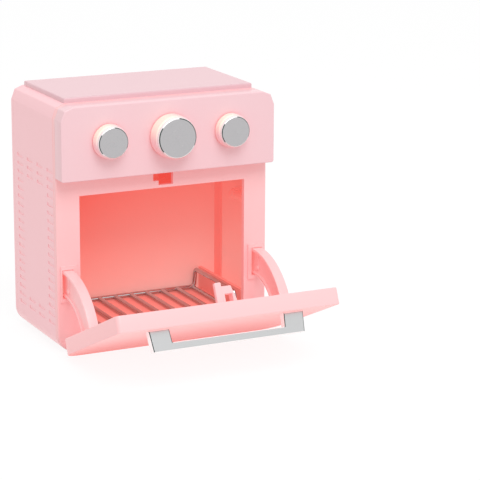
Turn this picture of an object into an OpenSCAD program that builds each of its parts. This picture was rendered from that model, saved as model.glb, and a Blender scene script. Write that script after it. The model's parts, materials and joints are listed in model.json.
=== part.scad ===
// Toy counter-top oven with a drop-down door, three knobs and a wire rack.
// Millimetres. X runs to the right, -Y is the front, Z is up, and the origin is the
// middle of the body's footprint, on the surface that it stands on.
// The door is drawn closed and then turned open about its hinge pins, as the toy is shown.

/* [Body] */
// Width of the body
body_w = 110; // [106:0.5:116]
// Depth of the body, from the control panel's face to the back
body_d = 65.5; // [63:0.5:76]
// Height of the body, up to its flat top
body_h = 119.8; // [118:0.2:130]
// Wall of the mouldings
wall = 2; // [1.7:0.1:2.3]
// Depth of the bevelled top corners, down from the flat top
cut_down = 6.6; // [5.5:0.1:8]
// Width of the bevelled top corners, in from the side
cut_in = 6; // [5:0.1:6.1]
// Distance of the break between a corner's two facets from the side
break_in = 1.9; // [1.5:0.1:2.3]
// Distance of the break between a corner's two facets from the flat top
break_down = 1.6; // [1.2:0.1:2]
// Radius of the breaks between the facets
break_r = 0.8; // [0.4:0.1:1.2]
// Radius of the body's and the door's bottom corners
bottom_r = 9; // [8:0.5:10]
// Radius of the soft edges round the front faces
edge_r = 0.8; // [0.5:0.1:1.9]
// Gap at the seams between mouldings
seam = 0.1; // [0.05:0.05:0.15]

/* [Top plate] */
// Thickness of the raised plate
plate_t = 2.3; // [2:0.1:4]
// Step from the body's sides to the plate
plate_side = 6.2; // [3:0.2:9]
// Step from the control panel's face to the plate
plate_front = 11.9; // [11:0.1:16]
// Step from the back to the plate
plate_back = 1.5; // [1:0.1:5]
// Bevel round the plate's upper edge
plate_bevel = 0.7; // [0.2:0.1:1]
// Radius of the pegs under the plate
peg_r = 1.5; // [1.2:0.1:2]
// Distance of the front pegs from the plate's front edge
peg_front = 8; // [6:0.1:12]
// Distance of the rear pegs from the sleeve's rear edge
peg_back = 14; // [11:0.1:18]
// Distance of the pegs from the plate's sides
peg_side = 10; // [6:0.1:14]

/* [Side vents] */
// Length of a groove
vent_l = 7.6; // [5:0.2:9]
// Height of a groove
vent_h = 1.5; // [1:0.1:2]
// Depth of a groove
vent_depth = 0.3; // [0.2:0.05:0.9]
// Distance from the sleeve's front edge to the first column
vent_front = 0.8; // [0.6:0.1:3]
// Distance from the last column to the sleeve's back edge
vent_back = 4.6; // [3:0.1:6]
// Distance from groove to groove, up and down
vent_pitch = 4.1; // [3.6:0.1:5]
// Rows of grooves in the outer columns
vent_rows = 19; // [11:1:20]
// Columns of grooves
vent_cols = 4; // [3:1:4]
// Rows that run right across at the top
vent_top_rows = 3; // [1:1:4]
// Rows that run right across at the bottom
vent_low_rows = 2; // [1:1:4]

/* [Control panel] */
// Height of the control panel
panel_h = 35.1; // [32:0.1:38]
// Radius of the panel's lower corners
panel_low_r = 1; // [0.5:0.1:2]

/* [Knobs] */
// Distance from the body's side to the outer knobs' axes
knob_side = 23.6; // [21:0.2:28]
// Height of the knobs above the panel's lower edge
knob_up = 18.1; // [15:0.1:20]
// Radius of the two outer knobs
knob_r = 8.2; // [6:0.1:9]
// Radius of the middle knob
knob_big_r = 10.5; // [8:0.1:12]
// How far an outer knob stands out from the panel
knob_out = 6.4; // [5:0.1:9]
// How far the middle knob stands out from the panel
knob_big_out = 8.9; // [5:0.1:10]
// Thickness of the bright cap
cap_t = 2; // [1.5:0.1:3]
// Step from the collar to the cap
cap_step = 0.7; // [0.2:0.1:1]
// Radius of the shafts
shaft_r = 2.5; // [2:0.1:3]
// Depth of the guide behind the panel's wall
guide_l = 3; // [2:0.1:3.4]
// Thickness of the clip that holds a shaft
clip_t = 1.2; // [0.8:0.1:1.4]

/* [Front frame] */
// Thickness of the front frame
frame_t = 2.5; // [2:0.1:3]
// Distance from the body's side to the cavity opening
mouth_in = 11.9; // [11.5:0.1:13]
// Height of the sill
sill_z = 7.9; // [7.6:0.1:8.2]
// Height of the header between the opening and the panel
header_h = 8.9; // [8.6:0.1:10]
// Width of the sockets that the stay arms run in
socket_w = 5.5; // [5.3:0.1:5.7]
// Width of the rim round each socket
rim_w = 1.9; // [1:0.1:2.2]
// Width of the rim on the outer side
rim_side = 0.8; // [0.6:0.1:0.8]
// How far the rim stands out
rim_out = 0.9; // [0.4:0.1:1]

/* [Door] */
// Thickness of the door
door_t = 8; // [7.5:0.1:8.5]
// Clearance behind the closed door
door_gap = 0.3; // [0.2:0.05:0.4]
// Clearance over the closed door
door_top_gap = 0.6; // [0.4:0.1:1]
// Height of the closed door's lower edge
door_low = 9; // [8.8:0.1:9.4]
// How far the door stands out past each side of the body
door_over = 0.7; // [0.6:0.05:0.8]
// Angle that the door is open
door_open = 65.9; // [60:0.1:66.4]
// Depth of the liner below the door's edge
liner_in = 1.25; // [1.2:0.05:1.6]
// Thickness of the liner
liner_t = 2; // [1.6:0.1:2]

/* [Hinge] */
// Distance of the hinge axis in front of the frame
pivot_out = 1.15; // [1.1:0.05:1.2]
// Height of the hinge axis
pivot_z = 5.4; // [5.3:0.05:5.5]
// Distance from the opening's side to the middle of a hinge
hinge_in = 2.1; // [1.6:0.1:8]
// Radius of the hinge pins
pin_r = 1.2; // [1:0.05:1.3]
// Width of a door knuckle
knuckle_w = 5.4; // [4:0.1:6]
// Radius of a door knuckle
knuckle_r = 2.2; // [2:0.05:2.3]
// Width of a frame ear
ear_w = 1.9; // [1.5:0.1:2.2]
// Radius of a frame ear
ear_r = 2.6; // [2.4:0.05:2.7]
// Running clearance of the pins in the knuckles
pin_fit = 0.05; // [0.02:0.01:0.1]

/* [Stay arms] */
// Width of an arm
arm_w = 5; // [4.4:0.1:5.1]
// Outer radius of the arc, about the hinge axis
arm_out_r = 35.2; // [32:0.1:36]
// Inner radius of the arc
arm_in_r = 22.2; // [20:0.1:24]
// Thickness of the outer flange
flange_t = 1.6; // [1:0.1:2]
// Thickness of the inner rib
rib_t = 1.2; // [0.8:0.1:1.6]
// Width of the inner rib
rib_w = 3.4; // [2.4:0.1:4]
// Thickness of the web
web_t = 1.4; // [1:0.1:2]
// Height of the stop at the end of the arc
stop_h = 1.6; // [1:0.1:2]
// Radius of the two beads on the web
button_r = 1.1; // [0.8:0.1:1.4]
// Distance of the inner bead from the hinge axis
button_at = 26; // [25:0.1:28]
// Width of the low rib between the beads
bead_rib_w = 0.9; // [0.6:0.1:1.2]

/* [Handle] */
// Width of the handle
handle_w = 77.8; // [60:0.2:90]
// Width of a leg
leg_w = 10; // [8:0.1:14]
// How far each leg leans inwards from the door to the bar
leg_lean = 0.9; // [0.2:0.1:1.5]
// How far the handle stands out from the door
handle_out = 9.8; // [8:0.1:14]
// Depth of the bar
bar_d = 3.5; // [3:0.1:5]
// Thickness of the handle
handle_t = 4.2; // [3.6:0.1:6]
// Distance from the door's upper edge to the handle
handle_down = 6.3; // [4:0.1:10]

/* [Door hook] */
// Half width of the hook
hook_half = 4.9; // [4.5:0.1:5.2]
// Width of the tall prong
prong_w = 2.8; // [2.4:0.1:3.2]
// How far the prong reaches into the header
prong_in = 9.3; // [8:0.1:9.6]
// How far the hook's plate reaches into the header
hook_in = 7.4; // [6:0.1:8]
// Height of the hook
hook_h = 4.6; // [4:0.1:4.8]
// Height of the prong
prong_h = 2.4; // [2:0.1:2.6]

/* [Latch] */
// Distance of the keeper's screws from the middle
keeper_x = 10.6; // [9.5:0.1:14]
// Half width of the tab that the hook snaps over
tab_half = 2.1; // [1.5:0.1:2.6]
// Thickness of the keeper
keeper_t = 1.5; // [1.2:0.1:1.6]

/* [Rack] */
// Diameter of the wires
wire_d = 2.2; // [1.8:0.1:2.4]
// Number of wires
wire_n = 10; // [8:1:10]
// Distance from the opening's side to a side rail
rail_in = 3.4; // [2.2:0.1:4]
// Height of the side rails above the base wires
rail_up = 9.8; // [6:0.1:12]
// Lean of the loop's uprights towards its middle
rail_lean = 11; // [0:1:16]
// Clearance before and behind the rack
rack_gap = 0.7; // [0.5:0.1:2]
// Inner radius of the bends
bend_r = 1.2; // [0.8:0.1:1.6]

/* [Rear cover] */
// Depth of the rim that shows behind the sleeve
cover_rim = 2.3; // [2:0.1:4]
// Depth of the hollow in the back
cover_in = 2.75; // [2:0.05:3]
// Depth of the lip inside the sleeve
cover_lip = 7.4; // [5:0.1:9]
// Thickness of the lip
lip_t = 0.7; // [0.6:0.1:1.8]

/* [Cavity] */
// Thickness of the guard walls beside the rack
guard_t = 1.8; // [1.4:0.1:2]
// Height of the guard walls' upper edge
guard_z = 19; // [17:0.1:21]
// Thickness of the cavity floor
floor_t = 1.6; // [1.2:0.1:2]
// Thickness of the cavity ceiling
ceiling_t = 1.2; // [1:0.1:1.4]

/* [Screws] */
// Radius of the screws' shanks
screw_r = 1.1; // [0.9:0.05:1.2]
// Radius of the screws' heads
head_r = 2.1; // [1.8:0.1:2.2]
// Height of the screws' heads
head_h = 1.2; // [0.9:0.1:1.2]
// Radius of the screw posts
post_r = 2.3; // [2.2:0.1:2.5]
// Length of the shanks in their posts
thread_l = 5; // [3.5:0.1:6]
// Clearance of the shanks in their holes
screw_fit = 0.2; // [0.1:0.05:0.3]
// Distance of the frame's posts from the sleeve's inner sides
frame_post_in = 4.1; // [3.8:0.1:4.4]
// Distance of the frame's lower posts under the top of the mouth
frame_post_down = 12.8; // [10:0.1:16]
// Height of the frame's upper posts over the panel's lower edge
frame_post_up = 23; // [21:0.1:24]
// Distance of the panel's posts from the sleeve's inner sides
panel_post_in = 7; // [6:0.1:8]
// Height of the panel's lower posts over its lower edge
panel_post_up = 7.5; // [6.5:0.1:8]
// Distance of the panel's upper posts under the top
panel_post_down = 7.8; // [7:0.1:9]
// Distance of the rear posts from the sleeve's inner sides
rear_post_in = 4.6; // [4.2:0.1:5]
// Height of the lower rear posts over the underside
rear_post_up = 9.5; // [9:0.1:11]
// Distance of the upper rear posts under the top
rear_post_down = 9.3; // [9:0.1:11]
// Height of the door's lower posts over its lower edge
door_post_up = 8; // [7:0.1:10]
// Distance of the door's upper posts under its upper edge
door_post_down = 14; // [13:0.1:18]
// Distance of the door's posts from its sides
door_post_in = 12; // [11:0.1:14]

/* [Hidden] */

PINK = [0.97, 0.80, 0.81];
SALMON = [0.95, 0.72, 0.72];
CHROME = [0.82, 0.82, 0.83];
STEEL = [0.62, 0.60, 0.61];
SMOOTH = 64;            // segments of a round shape
SOFT = 32;              // segments of the round corners in a hull
SLICE = 0.01;           // thickness of a slice in a hull
OVER = 1;               // how far a cut runs past what it cuts
BITE = 0.3;             // how far joined shapes run into each other
CUT = -1;               // stands for the two facets of the body's top corners, in place of a radius

// Stations along the depth, from the front to the back
front_y = -body_d / 2;
back_y = body_d / 2;
frame_y = front_y + door_t + door_gap;
frame_back = frame_y + frame_t;
shell_y0 = frame_back + seam;
shell_y1 = back_y - cover_rim - seam;
cover_y1 = back_y - cover_in;
cover_y0 = cover_y1 - wall;
lip_y = cover_y0 - cover_lip;
inner_half = body_w / 2 - wall;
mouth_half = body_w / 2 - mouth_in;
hinge_x = mouth_half - hinge_in;
rail_x = mouth_half - rail_in;
knob_pitch = body_w / 2 - knob_side;

// Heights
panel_z = body_h - panel_h;
mouth_z = panel_z - header_h;
door_top = panel_z - door_top_gap;
floor_z = sill_z - seam;
ceiling_z = mouth_z - 0.4;
knob_z = panel_z + knob_up;

// Door, closed
door_half = body_w / 2 + door_over;
door_back = front_y + door_t;
liner_y = door_back - liner_in;
pivot_y = frame_y - pivot_out;
knuckle_half = knuckle_w / 2 + 0.25;    // half the room between a pair of ears

// Stay arms and their sockets. The arc runs from the door into the body.
arm_x = inner_half - 3.2;
socket_gap = (socket_w - arm_w) / 2;
socket_z0 = pivot_z + arm_in_r - 0.6;
socket_z1 = pivot_z + arm_out_r + socket_gap;
stop_turn = asin((frame_t + pivot_out + 0.3) / arm_out_r);
stop_arc = 2.6;
stop_end = 0.4;         // how far the arc runs past its stop
arc_turn = door_open + stop_turn + stop_arc + stop_end;
button_turn = door_open - 5.9;
button_far = arm_out_r - flange_t - button_r - 0.1;
bead_turn = asin(bead_rib_w / (button_at + button_far));

// Screw places as [x, z]
frame_posts = [for (s = [-1, 1]) for (z = [mouth_z - frame_post_down, panel_z + frame_post_up])
    [s * (inner_half - frame_post_in), z]];
panel_posts = [for (s = [-1, 1]) for (z = [panel_z + panel_post_up, body_h - panel_post_down])
    [s * (inner_half - panel_post_in), z]];
rear_posts = [for (s = [-1, 1]) for (z = [rear_post_up, body_h - rear_post_down])
    [s * (inner_half - rear_post_in), z]];
door_posts = [for (s = [-1, 1]) for (z = [door_low + door_post_up, door_top - door_post_down])
    [s * (door_half - door_post_in), z]];
keeper_posts = [for (s = [-1, 1]) [s * keeper_x, panel_z + wall + head_r + 0.6]];
post_l = 18;            // length of the frame's screw posts
bore_l = 9;             // depth of the bores in their ends
boss_l = 9;             // length of the sleeve's rear bosses
lug_t = 2.4;            // thickness of the sleeve's lugs
lug_r = 3;
boss_r = 2.6;

// ---------------------------------------------------------------- shapes used by many

// Points of a rounded corner at [cx, cz], over the quarter that begins at angle a
function corner(cx, cz, r, a) =
    [for (i = [0:SOFT / 4]) [cx + r * cos(a + 360 * i / SOFT), cz + r * sin(a + 360 * i / SOFT)]];

// Outward normal of a side that runs from a to b, with the body on its left
function outward(a, b) = [b[1] - a[1], a[0] - b[0]] / norm(b - a);

// The same points mirrored to the left, in reverse order
function mirrored(points) =
    [for (i = [len(points) - 1:-1:0]) [-points[i][0], points[i][1]]];

// Points of the right top corner, from the side to the flat top: two facets with softened breaks
function cut_corner(half, top, inset) =
    let (at = [[half, top - cut_down], [half - break_in, top - break_down], [half - cut_in, top]],
         out = [[1, 0], outward(at[0], at[1]), outward(at[1], at[2]), [0, 1]],
         r = max(break_r - inset, 0.2))
    [for (i = [0:2])
        let (sum = out[i] + out[i + 1],
             centre = at[i] - (inset + r) * sum / (1 + out[i] * out[i + 1]))
        for (way = [out[i], sum / norm(sum), out[i + 1]]) centre + r * way];

// Upright outline with its own corner radii below and above, drawn in x and z
module outline(half, z0, z1, low_r, high_r, inset = 0) {
    h = half - inset;
    lo = max(low_r - inset, 0.2);
    hi = max(high_r - inset, 0.2);
    bottom = z0 + inset;
    top = z1 - inset;
    translate([-h + lo, bottom])
        square([2 * (h - lo), lo + BITE]);
    for (s = [-1, 1])
        translate([s * (h - lo), bottom + lo])
            circle(lo);
    if (high_r == CUT) {
        right = concat([[h, bottom + lo]], cut_corner(half, z1, inset));
        polygon(concat(right, mirrored(right)));
    } else {
        translate([-h, bottom + lo])
            square([2 * h, top - hi - bottom - lo]);
        translate([-h + hi, top - hi - BITE])
            square([2 * (h - hi), hi + BITE]);
        for (s = [-1, 1])
            translate([s * (h - hi), top - hi])
                circle(hi);
    }
}

// Extrudes an outline in x and z from depth y0 to depth y1
module deep(y0, y1) {
    translate([0, y1, 0])
        rotate([90, 0, 0])
            linear_extrude(y1 - y0)
                children();
}

module body_outline(inset = 0) {
    outline(body_w / 2, 0, body_h, bottom_r, CUT, inset);
}

// The same outline as one ring of points, for the slices of a hull
module slice(half, z0, z1, low_r, high_r, inset) {
    h = half - inset;
    lo = max(low_r - inset, BITE);
    hi = max(high_r - inset, BITE);
    right = concat(corner(h - lo, z0 + inset + lo, lo, 270),
                   high_r == CUT ? cut_corner(half, z1, inset)
                                 : corner(h - hi, z1 - inset - hi, hi, 0));
    polygon(concat(right, mirrored(right)));
}

// Slab with a soft edge round its face at y0: slices of a quarter circle in one hull
module soft_slab(half, z0, z1, low_r, high_r, y0, y1, r) {
    steps = 4;
    hull() {
        for (i = [0:steps]) {
            a = 90 * i / steps;
            deep(y0 + r * (1 - cos(a)), y0 + r * (1 - cos(a)) + SLICE)
                slice(half, z0, z1, low_r, high_r, r * (1 - sin(a)));
        }
        deep(y1 - SLICE, y1)
            slice(half, z0, z1, low_r, high_r, 0);
    }
}

// Round bar along the depth at a place [x, z]
module bar(at, r, y0, y1) {
    translate([at[0], y1, at[1]])
        rotate([90, 0, 0])
            cylinder(h = y1 - y0, r = r, $fn = SMOOTH);
}

// Round bar across the body
module cross_bar(y, z, r, x0, x1) {
    translate([x0, y, z])
        rotate([0, 90, 0])
            cylinder(h = x1 - x0, r = r, $fn = SMOOTH);
}

// Box from its lowest to its highest corner
module block(low, high) {
    translate(low)
        cube(high - low);
}

// Screw along the depth: its head stands on depth y, and its shank runs l towards "way"
module screw(at, y, l, way) {
    slot_w = 0.6;
    slot_d = 0.7;
    translate([at[0], y, at[1]])
        rotate([way * 90, 0, 0])
            difference() {
                union() {
                    translate([0, 0, -head_h])
                        cylinder(h = head_h, r = head_r, $fn = SMOOTH);
                    translate([0, 0, -BITE])
                        cylinder(h = l + BITE, r = screw_r, $fn = SMOOTH);
                }
                for (turn = [0, 90])
                    rotate([0, 0, turn])
                        translate([-head_r * 0.6, -slot_w / 2, -head_h - OVER])
                            cube([head_r * 1.2, slot_w, slot_d + OVER]);
            }
}
FORWARD = 1;            // a shank that runs towards the front
BACKWARD = -1;

// Turns what is drawn closed to where it is with the door open
module opened() {
    translate([0, pivot_y, pivot_z])
        rotate([door_open, 0, 0])
            translate([0, -pivot_y, -pivot_z])
                children();
}

// ---------------------------------------------------------------- casing

// One groove of the side vents, in y and z
module vent_groove(col, row) {
    step = (shell_y1 - shell_y0 - vent_front - vent_back - vent_l) / (vent_cols - 1);
    low = 13;
    translate([shell_y0 + vent_front + col * step, low + row * vent_pitch])
        square([vent_l, vent_h]);
}

module vent_pattern() {
    for (col = [0:vent_cols - 1])
        for (row = [0:vent_rows - 1])
            if (col == 0 || col == vent_cols - 1
                || row < vent_low_rows || row >= vent_rows - vent_top_rows)
                vent_groove(col, row);
}

// Grooves cut into the side at x = s * body_w / 2
module side_vents(s) {
    x0 = s > 0 ? body_w / 2 - vent_depth : -body_w / 2 - OVER;
    translate([x0, 0, 0])
        rotate([90, 0, 90])
            linear_extrude(vent_depth + OVER)
                vent_pattern();
}

// Sleeve of the body, with the lugs and bosses that the other mouldings are screwed to
module outer_shell() {
    lug_y0 = frame_back + post_l + seam;
    boss_y1 = lip_y - seam;
    boss_y0 = boss_y1 - boss_l;
    color(PINK)
    difference() {
        union() {
            difference() {
                deep(shell_y0, shell_y1)
                    body_outline($fn = SMOOTH);
                deep(shell_y0 - OVER, shell_y1 + OVER)
                    body_outline(wall, $fn = SMOOTH);
            }
            for (p = frame_posts) {
                bar(p, lug_r, lug_y0, lug_y0 + lug_t);
                lug_side(p, lug_r, lug_y0, lug_y0 + lug_t);
            }
            for (p = rear_posts) {
                bar(p, boss_r, boss_y0, boss_y1);
                lug_side(p, 0.6, boss_y0, boss_y1);
            }
            for (s = [-1, 1])
                ceiling_rib(s);
        }
        for (s = [-1, 1])
            side_vents(s);
        for (p = frame_posts)
            bar(p, screw_r + screw_fit, lug_y0 - OVER, lug_y0 + lug_t + OVER);
        for (p = rear_posts)
            bar(p, screw_r, boss_y0 - OVER, boss_y1 + OVER);
        for (p = plate_pegs)
            translate([p[0], p[1], body_h - wall - OVER])
                cylinder(h = wall + 2 * OVER, r = peg_r + seam, $fn = SMOOTH);
    }
}

// Joins a lug or boss to the sleeve's side wall
module lug_side(at, half_h, y0, y1) {
    s = sign(at[0]);
    block([min(at[0], s * (inner_half + BITE)), y0, at[1] - half_h],
          [max(at[0], s * (inner_half + BITE)), y1, at[1] + half_h]);
}

// Rib that carries an edge of the ceiling
module ceiling_rib(s) {
    rib = 1.2;
    x = s * inner_half;
    block([min(x - s * rib, x + s * BITE), shell_y0, ceiling_z - seam - rib],
          [max(x - s * rib, x + s * BITE), lip_y - seam, ceiling_z - seam]);
}

// Pegs under the top plate, as [x, y]
plate_pegs = [for (s = [-1, 1]) for (y = [front_y + plate_front + peg_front, shell_y1 - peg_back])
    [s * (body_w / 2 - plate_side - peg_side), y]];

// Raised plate on the body's flat top
module top_plate() {
    x = body_w / 2 - plate_side;
    y0 = front_y + plate_front;
    y1 = back_y - plate_back;
    color(PINK) {
        hull() {
            block([-x, y0, body_h], [x, y1, body_h + plate_t - plate_bevel]);
            block([-x + plate_bevel, y0 + plate_bevel, body_h],
                  [x - plate_bevel, y1 - plate_bevel, body_h + plate_t]);
        }
        for (p = plate_pegs)
            translate([p[0], p[1], body_h - wall])
                cylinder(h = wall + BITE, r = peg_r, $fn = SMOOTH);
    }
}

// Hollow front cover with the bores of the three knobs
module control_panel() {
    y1 = frame_y - seam;
    inside = front_y + wall;
    color(PINK)
    difference() {
        union() {
            difference() {
                soft_slab(body_w / 2, panel_z, body_h, panel_low_r, CUT,
                          front_y, y1, edge_r);
                deep(inside, y1 + OVER)
                    outline(body_w / 2, panel_z, body_h, panel_low_r, CUT, wall,
                            $fn = SMOOTH);
            }
            for (p = panel_posts)
                bar(p, post_r, inside - BITE, y1);
            for (k = KNOBS)
                bar([k[0], knob_z], shaft_r + 1.4, inside - BITE, inside + guide_l);
        }
        for (k = KNOBS)
            bar([k[0], knob_z], shaft_r + pin_fit, front_y - OVER, inside + guide_l + OVER);
        for (p = panel_posts)
            bar(p, screw_r, inside + 0.6, y1 + OVER);
    }
}

// Front frame: cavity opening, sockets of the stay arms, hook slot and hinge ears
module front_frame() {
    color(PINK)
    difference() {
        union() {
            soft_slab(body_w / 2, 0, body_h, bottom_r, CUT, frame_y, frame_back,
                      min(edge_r, frame_t - 1));
            // square edge behind the control panel
            deep(frame_y, frame_back)
                intersection() {
                    body_outline($fn = SMOOTH);
                    translate([-body_w / 2, panel_z + panel_low_r])
                        square([body_w, panel_h]);
                }
            for (s = [-1, 1])
                socket_rim(s);
            for (p = frame_posts)
                bar(p, post_r, frame_back - BITE, frame_back + post_l);
            for (s = [-1, 1])
                for (x = [hinge_x - knuckle_half - ear_w, hinge_x + knuckle_half])
                    hinge_ear(s > 0 ? x : -x - ear_w);
        }
        // cavity opening
        block([-mouth_half, frame_y - OVER, sill_z], [mouth_half, frame_back + OVER, mouth_z]);
        for (s = [-1, 1]) {
            socket_cut(s);
            knuckle_cut(s);
        }
        hook_slot();
        // panel pieces and posts stand in front of these holes
        for (p = panel_posts)
            bar(p, screw_r + screw_fit, frame_y - OVER, frame_back + OVER);
        for (p = keeper_posts)
            bar(p, screw_r + screw_fit, frame_y - OVER, frame_back + OVER);
        for (p = frame_posts)
            bar(p, screw_r, frame_back + post_l - bore_l, frame_back + post_l + OVER);
        cross_bar(pivot_y, pivot_z, pin_r + 0.02, -inner_half, inner_half);
    }
}

// Raised rim round a socket
module socket_rim(s) {
    near = arm_x - socket_w / 2 - rim_w;
    far = arm_x + socket_w / 2 + rim_side;
    block([s > 0 ? near : -far, frame_y - rim_out, socket_z0 - rim_w],
          [s > 0 ? far : -near, frame_y + frame_t / 2, socket_z1 + rim_w]);
}

module socket_cut(s) {
    x = s * arm_x;
    block([x - socket_w / 2, frame_y - rim_out - OVER, socket_z0],
          [x + socket_w / 2, frame_back + OVER, socket_z1]);
}

// Ear that carries one end of a hinge pin
module hinge_ear(x) {
    cross_bar(pivot_y, pivot_z, ear_r, x, x + ear_w);
    block([x, pivot_y, pivot_z - ear_r + seam], [x + ear_w, frame_y + frame_t / 2, sill_z - seam]);
}

// Room behind a door knuckle
module knuckle_cut(s) {
    x = s * hinge_x;
    block([x - knuckle_half, frame_y - OVER, pivot_z - knuckle_r - 0.3],
          [x + knuckle_half, frame_back + OVER, sill_z + OVER]);
}

// Slot that the door's hook enters
module hook_slot() {
    gap = 0.3;
    high = hook_top + 1.3;
    step = hook_top - prong_h - gap;
    block([-hook_half - gap, frame_y - OVER, step], [hook_half + gap, frame_back + OVER, high]);
    block([-hook_half + prong_w - gap, frame_y - OVER, hook_top - hook_h - gap],
          [hook_half + gap, frame_back + OVER, step + BITE]);
}

// Cover of the back, hollowed, with a lip inside the sleeve
module rear_cover() {
    fit = wall + seam;
    rim = 4;
    color(PINK)
    difference() {
        union() {
            difference() {
                union() {
                    deep(back_y - cover_rim, back_y)
                        body_outline($fn = SMOOTH);
                    deep(cover_y0, back_y - cover_rim + BITE)
                        body_outline(fit, $fn = SMOOTH);
                }
                deep(cover_y1, back_y + OVER)
                    body_outline(rim, $fn = SMOOTH);
            }
            difference() {
                deep(lip_y, cover_y0 + BITE)
                    body_outline(fit, $fn = SMOOTH);
                deep(lip_y - OVER, cover_y0)
                    body_outline(fit + lip_t, $fn = SMOOTH);
            }
            for (p = rear_posts)
                bar(p, boss_r, lip_y, cover_y0 + BITE);
        }
        for (p = rear_posts)
            bar(p, screw_r + screw_fit, lip_y - OVER, back_y + OVER);
    }
}

// ---------------------------------------------------------------- inside the cavity

// Floor under the rack, with a guard wall at each side that keeps the arms' way clear
module cavity_floor() {
    outer = mouth_half + guard_t;
    over_lip = wall + lip_t + 2 * seam;     // height at which the guards clear the rear cover's lip
    color(SALMON) {
        deep(frame_back + seam, cover_y0 - seam) {
            translate([-outer, floor_z - floor_t])
                square([2 * outer, floor_t]);
            for (s = [-1, 1])
                translate([s > 0 ? mouth_half : -outer, over_lip])
                    square([guard_t, guard_z - over_lip]);
        }
        deep(frame_back + seam, lip_y - seam)
            for (s = [-1, 1])
                translate([s > 0 ? mouth_half : -outer, wall + seam / 2])
                    square([guard_t, over_lip - wall + BITE]);
    }
}

module cavity_ceiling() {
    x = inner_half - seam;
    color(SALMON)
    block([-x, frame_back + seam, ceiling_z], [x, lip_y - seam, ceiling_z + ceiling_t]);
}

// Bracket behind the header: the door's hook snaps in over the tab on its lower bar
module latch_keeper() {
    over = hook_top + 1.6;
    plate_half = keeper_x + head_r + 0.7;
    y0 = frame_back + seam;
    y1 = door_back + prong_in + 0.4;
    leg_x = hook_half + 0.8;
    low = ceiling_z + ceiling_t + seam;
    tab_x = -0.2;           // the tab's middle
    color(SALMON)
    difference() {
        union() {
            block([-plate_half, y0, over],
                  [plate_half, y0 + keeper_t, keeper_posts[0][1] + head_r]);
            block([-leg_x, y0, over], [leg_x + keeper_t, y1 + keeper_t, over + keeper_t]);
            block([leg_x, y1, low], [leg_x + keeper_t, y1 + keeper_t, over + BITE]);
            block([-leg_x, y1, low], [leg_x + BITE, y1 + keeper_t, low + keeper_t]);
            block([tab_x - tab_half, y1, low],
                  [tab_x + tab_half, y1 + keeper_t, hook_top - 1.2]);
        }
        for (p = keeper_posts)
            bar(p, screw_r, frame_back - OVER, y0 + keeper_t + OVER);
    }
}

// ---------------------------------------------------------------- door

hook_top = door_top - wall - seam;

// Outer moulding of the door, with its knuckles, drawn closed
module door_shell_closed() {
    inside = front_y + wall;
    difference() {
        union() {
            difference() {
                soft_slab(door_half, door_low, door_top, bottom_r, edge_r,
                          front_y, door_back, edge_r);
                deep(inside, door_back + OVER)
                    outline(door_half, door_low, door_top, bottom_r, edge_r + wall, wall,
                            $fn = SMOOTH);
            }
            for (p = door_posts)
                bar(p, post_r, inside - BITE, liner_y - liner_t - seam / 2);
            for (s = [-1, 1])
                door_knuckle(s);
        }
        for (p = door_posts)
            bar(p, screw_r, inside + 0.4, liner_y);
        for (p = handle_posts)
            bar(p, screw_r + screw_fit, front_y - OVER, inside + OVER);
        cross_bar(pivot_y, pivot_z, pin_r + pin_fit, -inner_half, inner_half);
    }
}

module door_knuckle(s) {
    x0 = s * hinge_x - knuckle_w / 2;
    cross_bar(pivot_y, pivot_z, knuckle_r, x0, x0 + knuckle_w);
    block([x0, pivot_y - knuckle_r + seam, pivot_z],
          [x0 + knuckle_w, pivot_y + 0.4, door_low + BITE]);
}

// Inner panel of the door, sunk below the door's edge
module door_liner_closed() {
    difference() {
        deep(liner_y - liner_t, liner_y)
            outline(door_half, door_low, door_top, bottom_r, edge_r + wall, wall + seam,
                    $fn = SMOOTH);
        for (s = [-1, 1])
            block([s * arm_x - arm_w / 2 - seam, liner_y - liner_t - OVER,
                   pivot_z + arm_in_r - seam],
                  [s * arm_x + arm_w / 2 + seam, liner_y + OVER,
                   pivot_z + arm_out_r + seam]);
        block([-hook_half - seam, liner_y - liner_t - OVER, hook_top - hook_h - seam],
              [hook_half + seam, liner_y + OVER, hook_top + OVER]);
        for (p = door_posts)
            bar(p, screw_r + screw_fit, liner_y - liner_t - OVER, liner_y + OVER);
    }
}

module door_shell() {
    color(PINK)
    opened()
        door_shell_closed();
}

module door_liner() {
    color(PINK)
    opened()
        door_liner_closed();
}

// Hook that snaps into the keeper: a tall prong, a ramped plate and a foot under the liner
module door_hook() {
    foot_y = liner_y - liner_t - seam / 2;
    foot_t = 1.2;
    foot_half = hook_half + 2;
    z0 = hook_top - hook_h;
    plate_x = -hook_half + prong_w;
    y_plate = door_back + hook_in;
    ramp = [2, 6.6];
    color(PINK)
    opened() {
        block([-foot_half, foot_y - foot_t, z0 - 2], [foot_half, foot_y, hook_top]);
        block([-hook_half, foot_y - BITE, hook_top - prong_h],
              [plate_x + BITE, door_back + prong_in, hook_top]);
        translate([0, 0, z0])
            linear_extrude(hook_h)
                difference() {
                    polygon([[plate_x, foot_y - BITE], [hook_half, foot_y - BITE],
                             [hook_half, y_plate - ramp[1]],
                             [hook_half - ramp[0], y_plate], [plate_x, y_plate]]);
                    translate([plate_x + 1.4, door_back])
                        square([3.8, 3.7]);
                }
    }
}

// Section of a stay arm: x across the arm, y the distance from the hinge axis
module arm_section() {
    translate([arm_out_r - flange_t, -arm_w / 2])
        square([flange_t, arm_w]);
    translate([arm_in_r + rib_t - BITE, -web_t / 2])
        square([arm_out_r - arm_in_r - rib_t - flange_t + 2 * BITE, web_t]);
    translate([arm_in_r, -rib_w / 2])
        square([rib_t, rib_w]);
}

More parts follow.
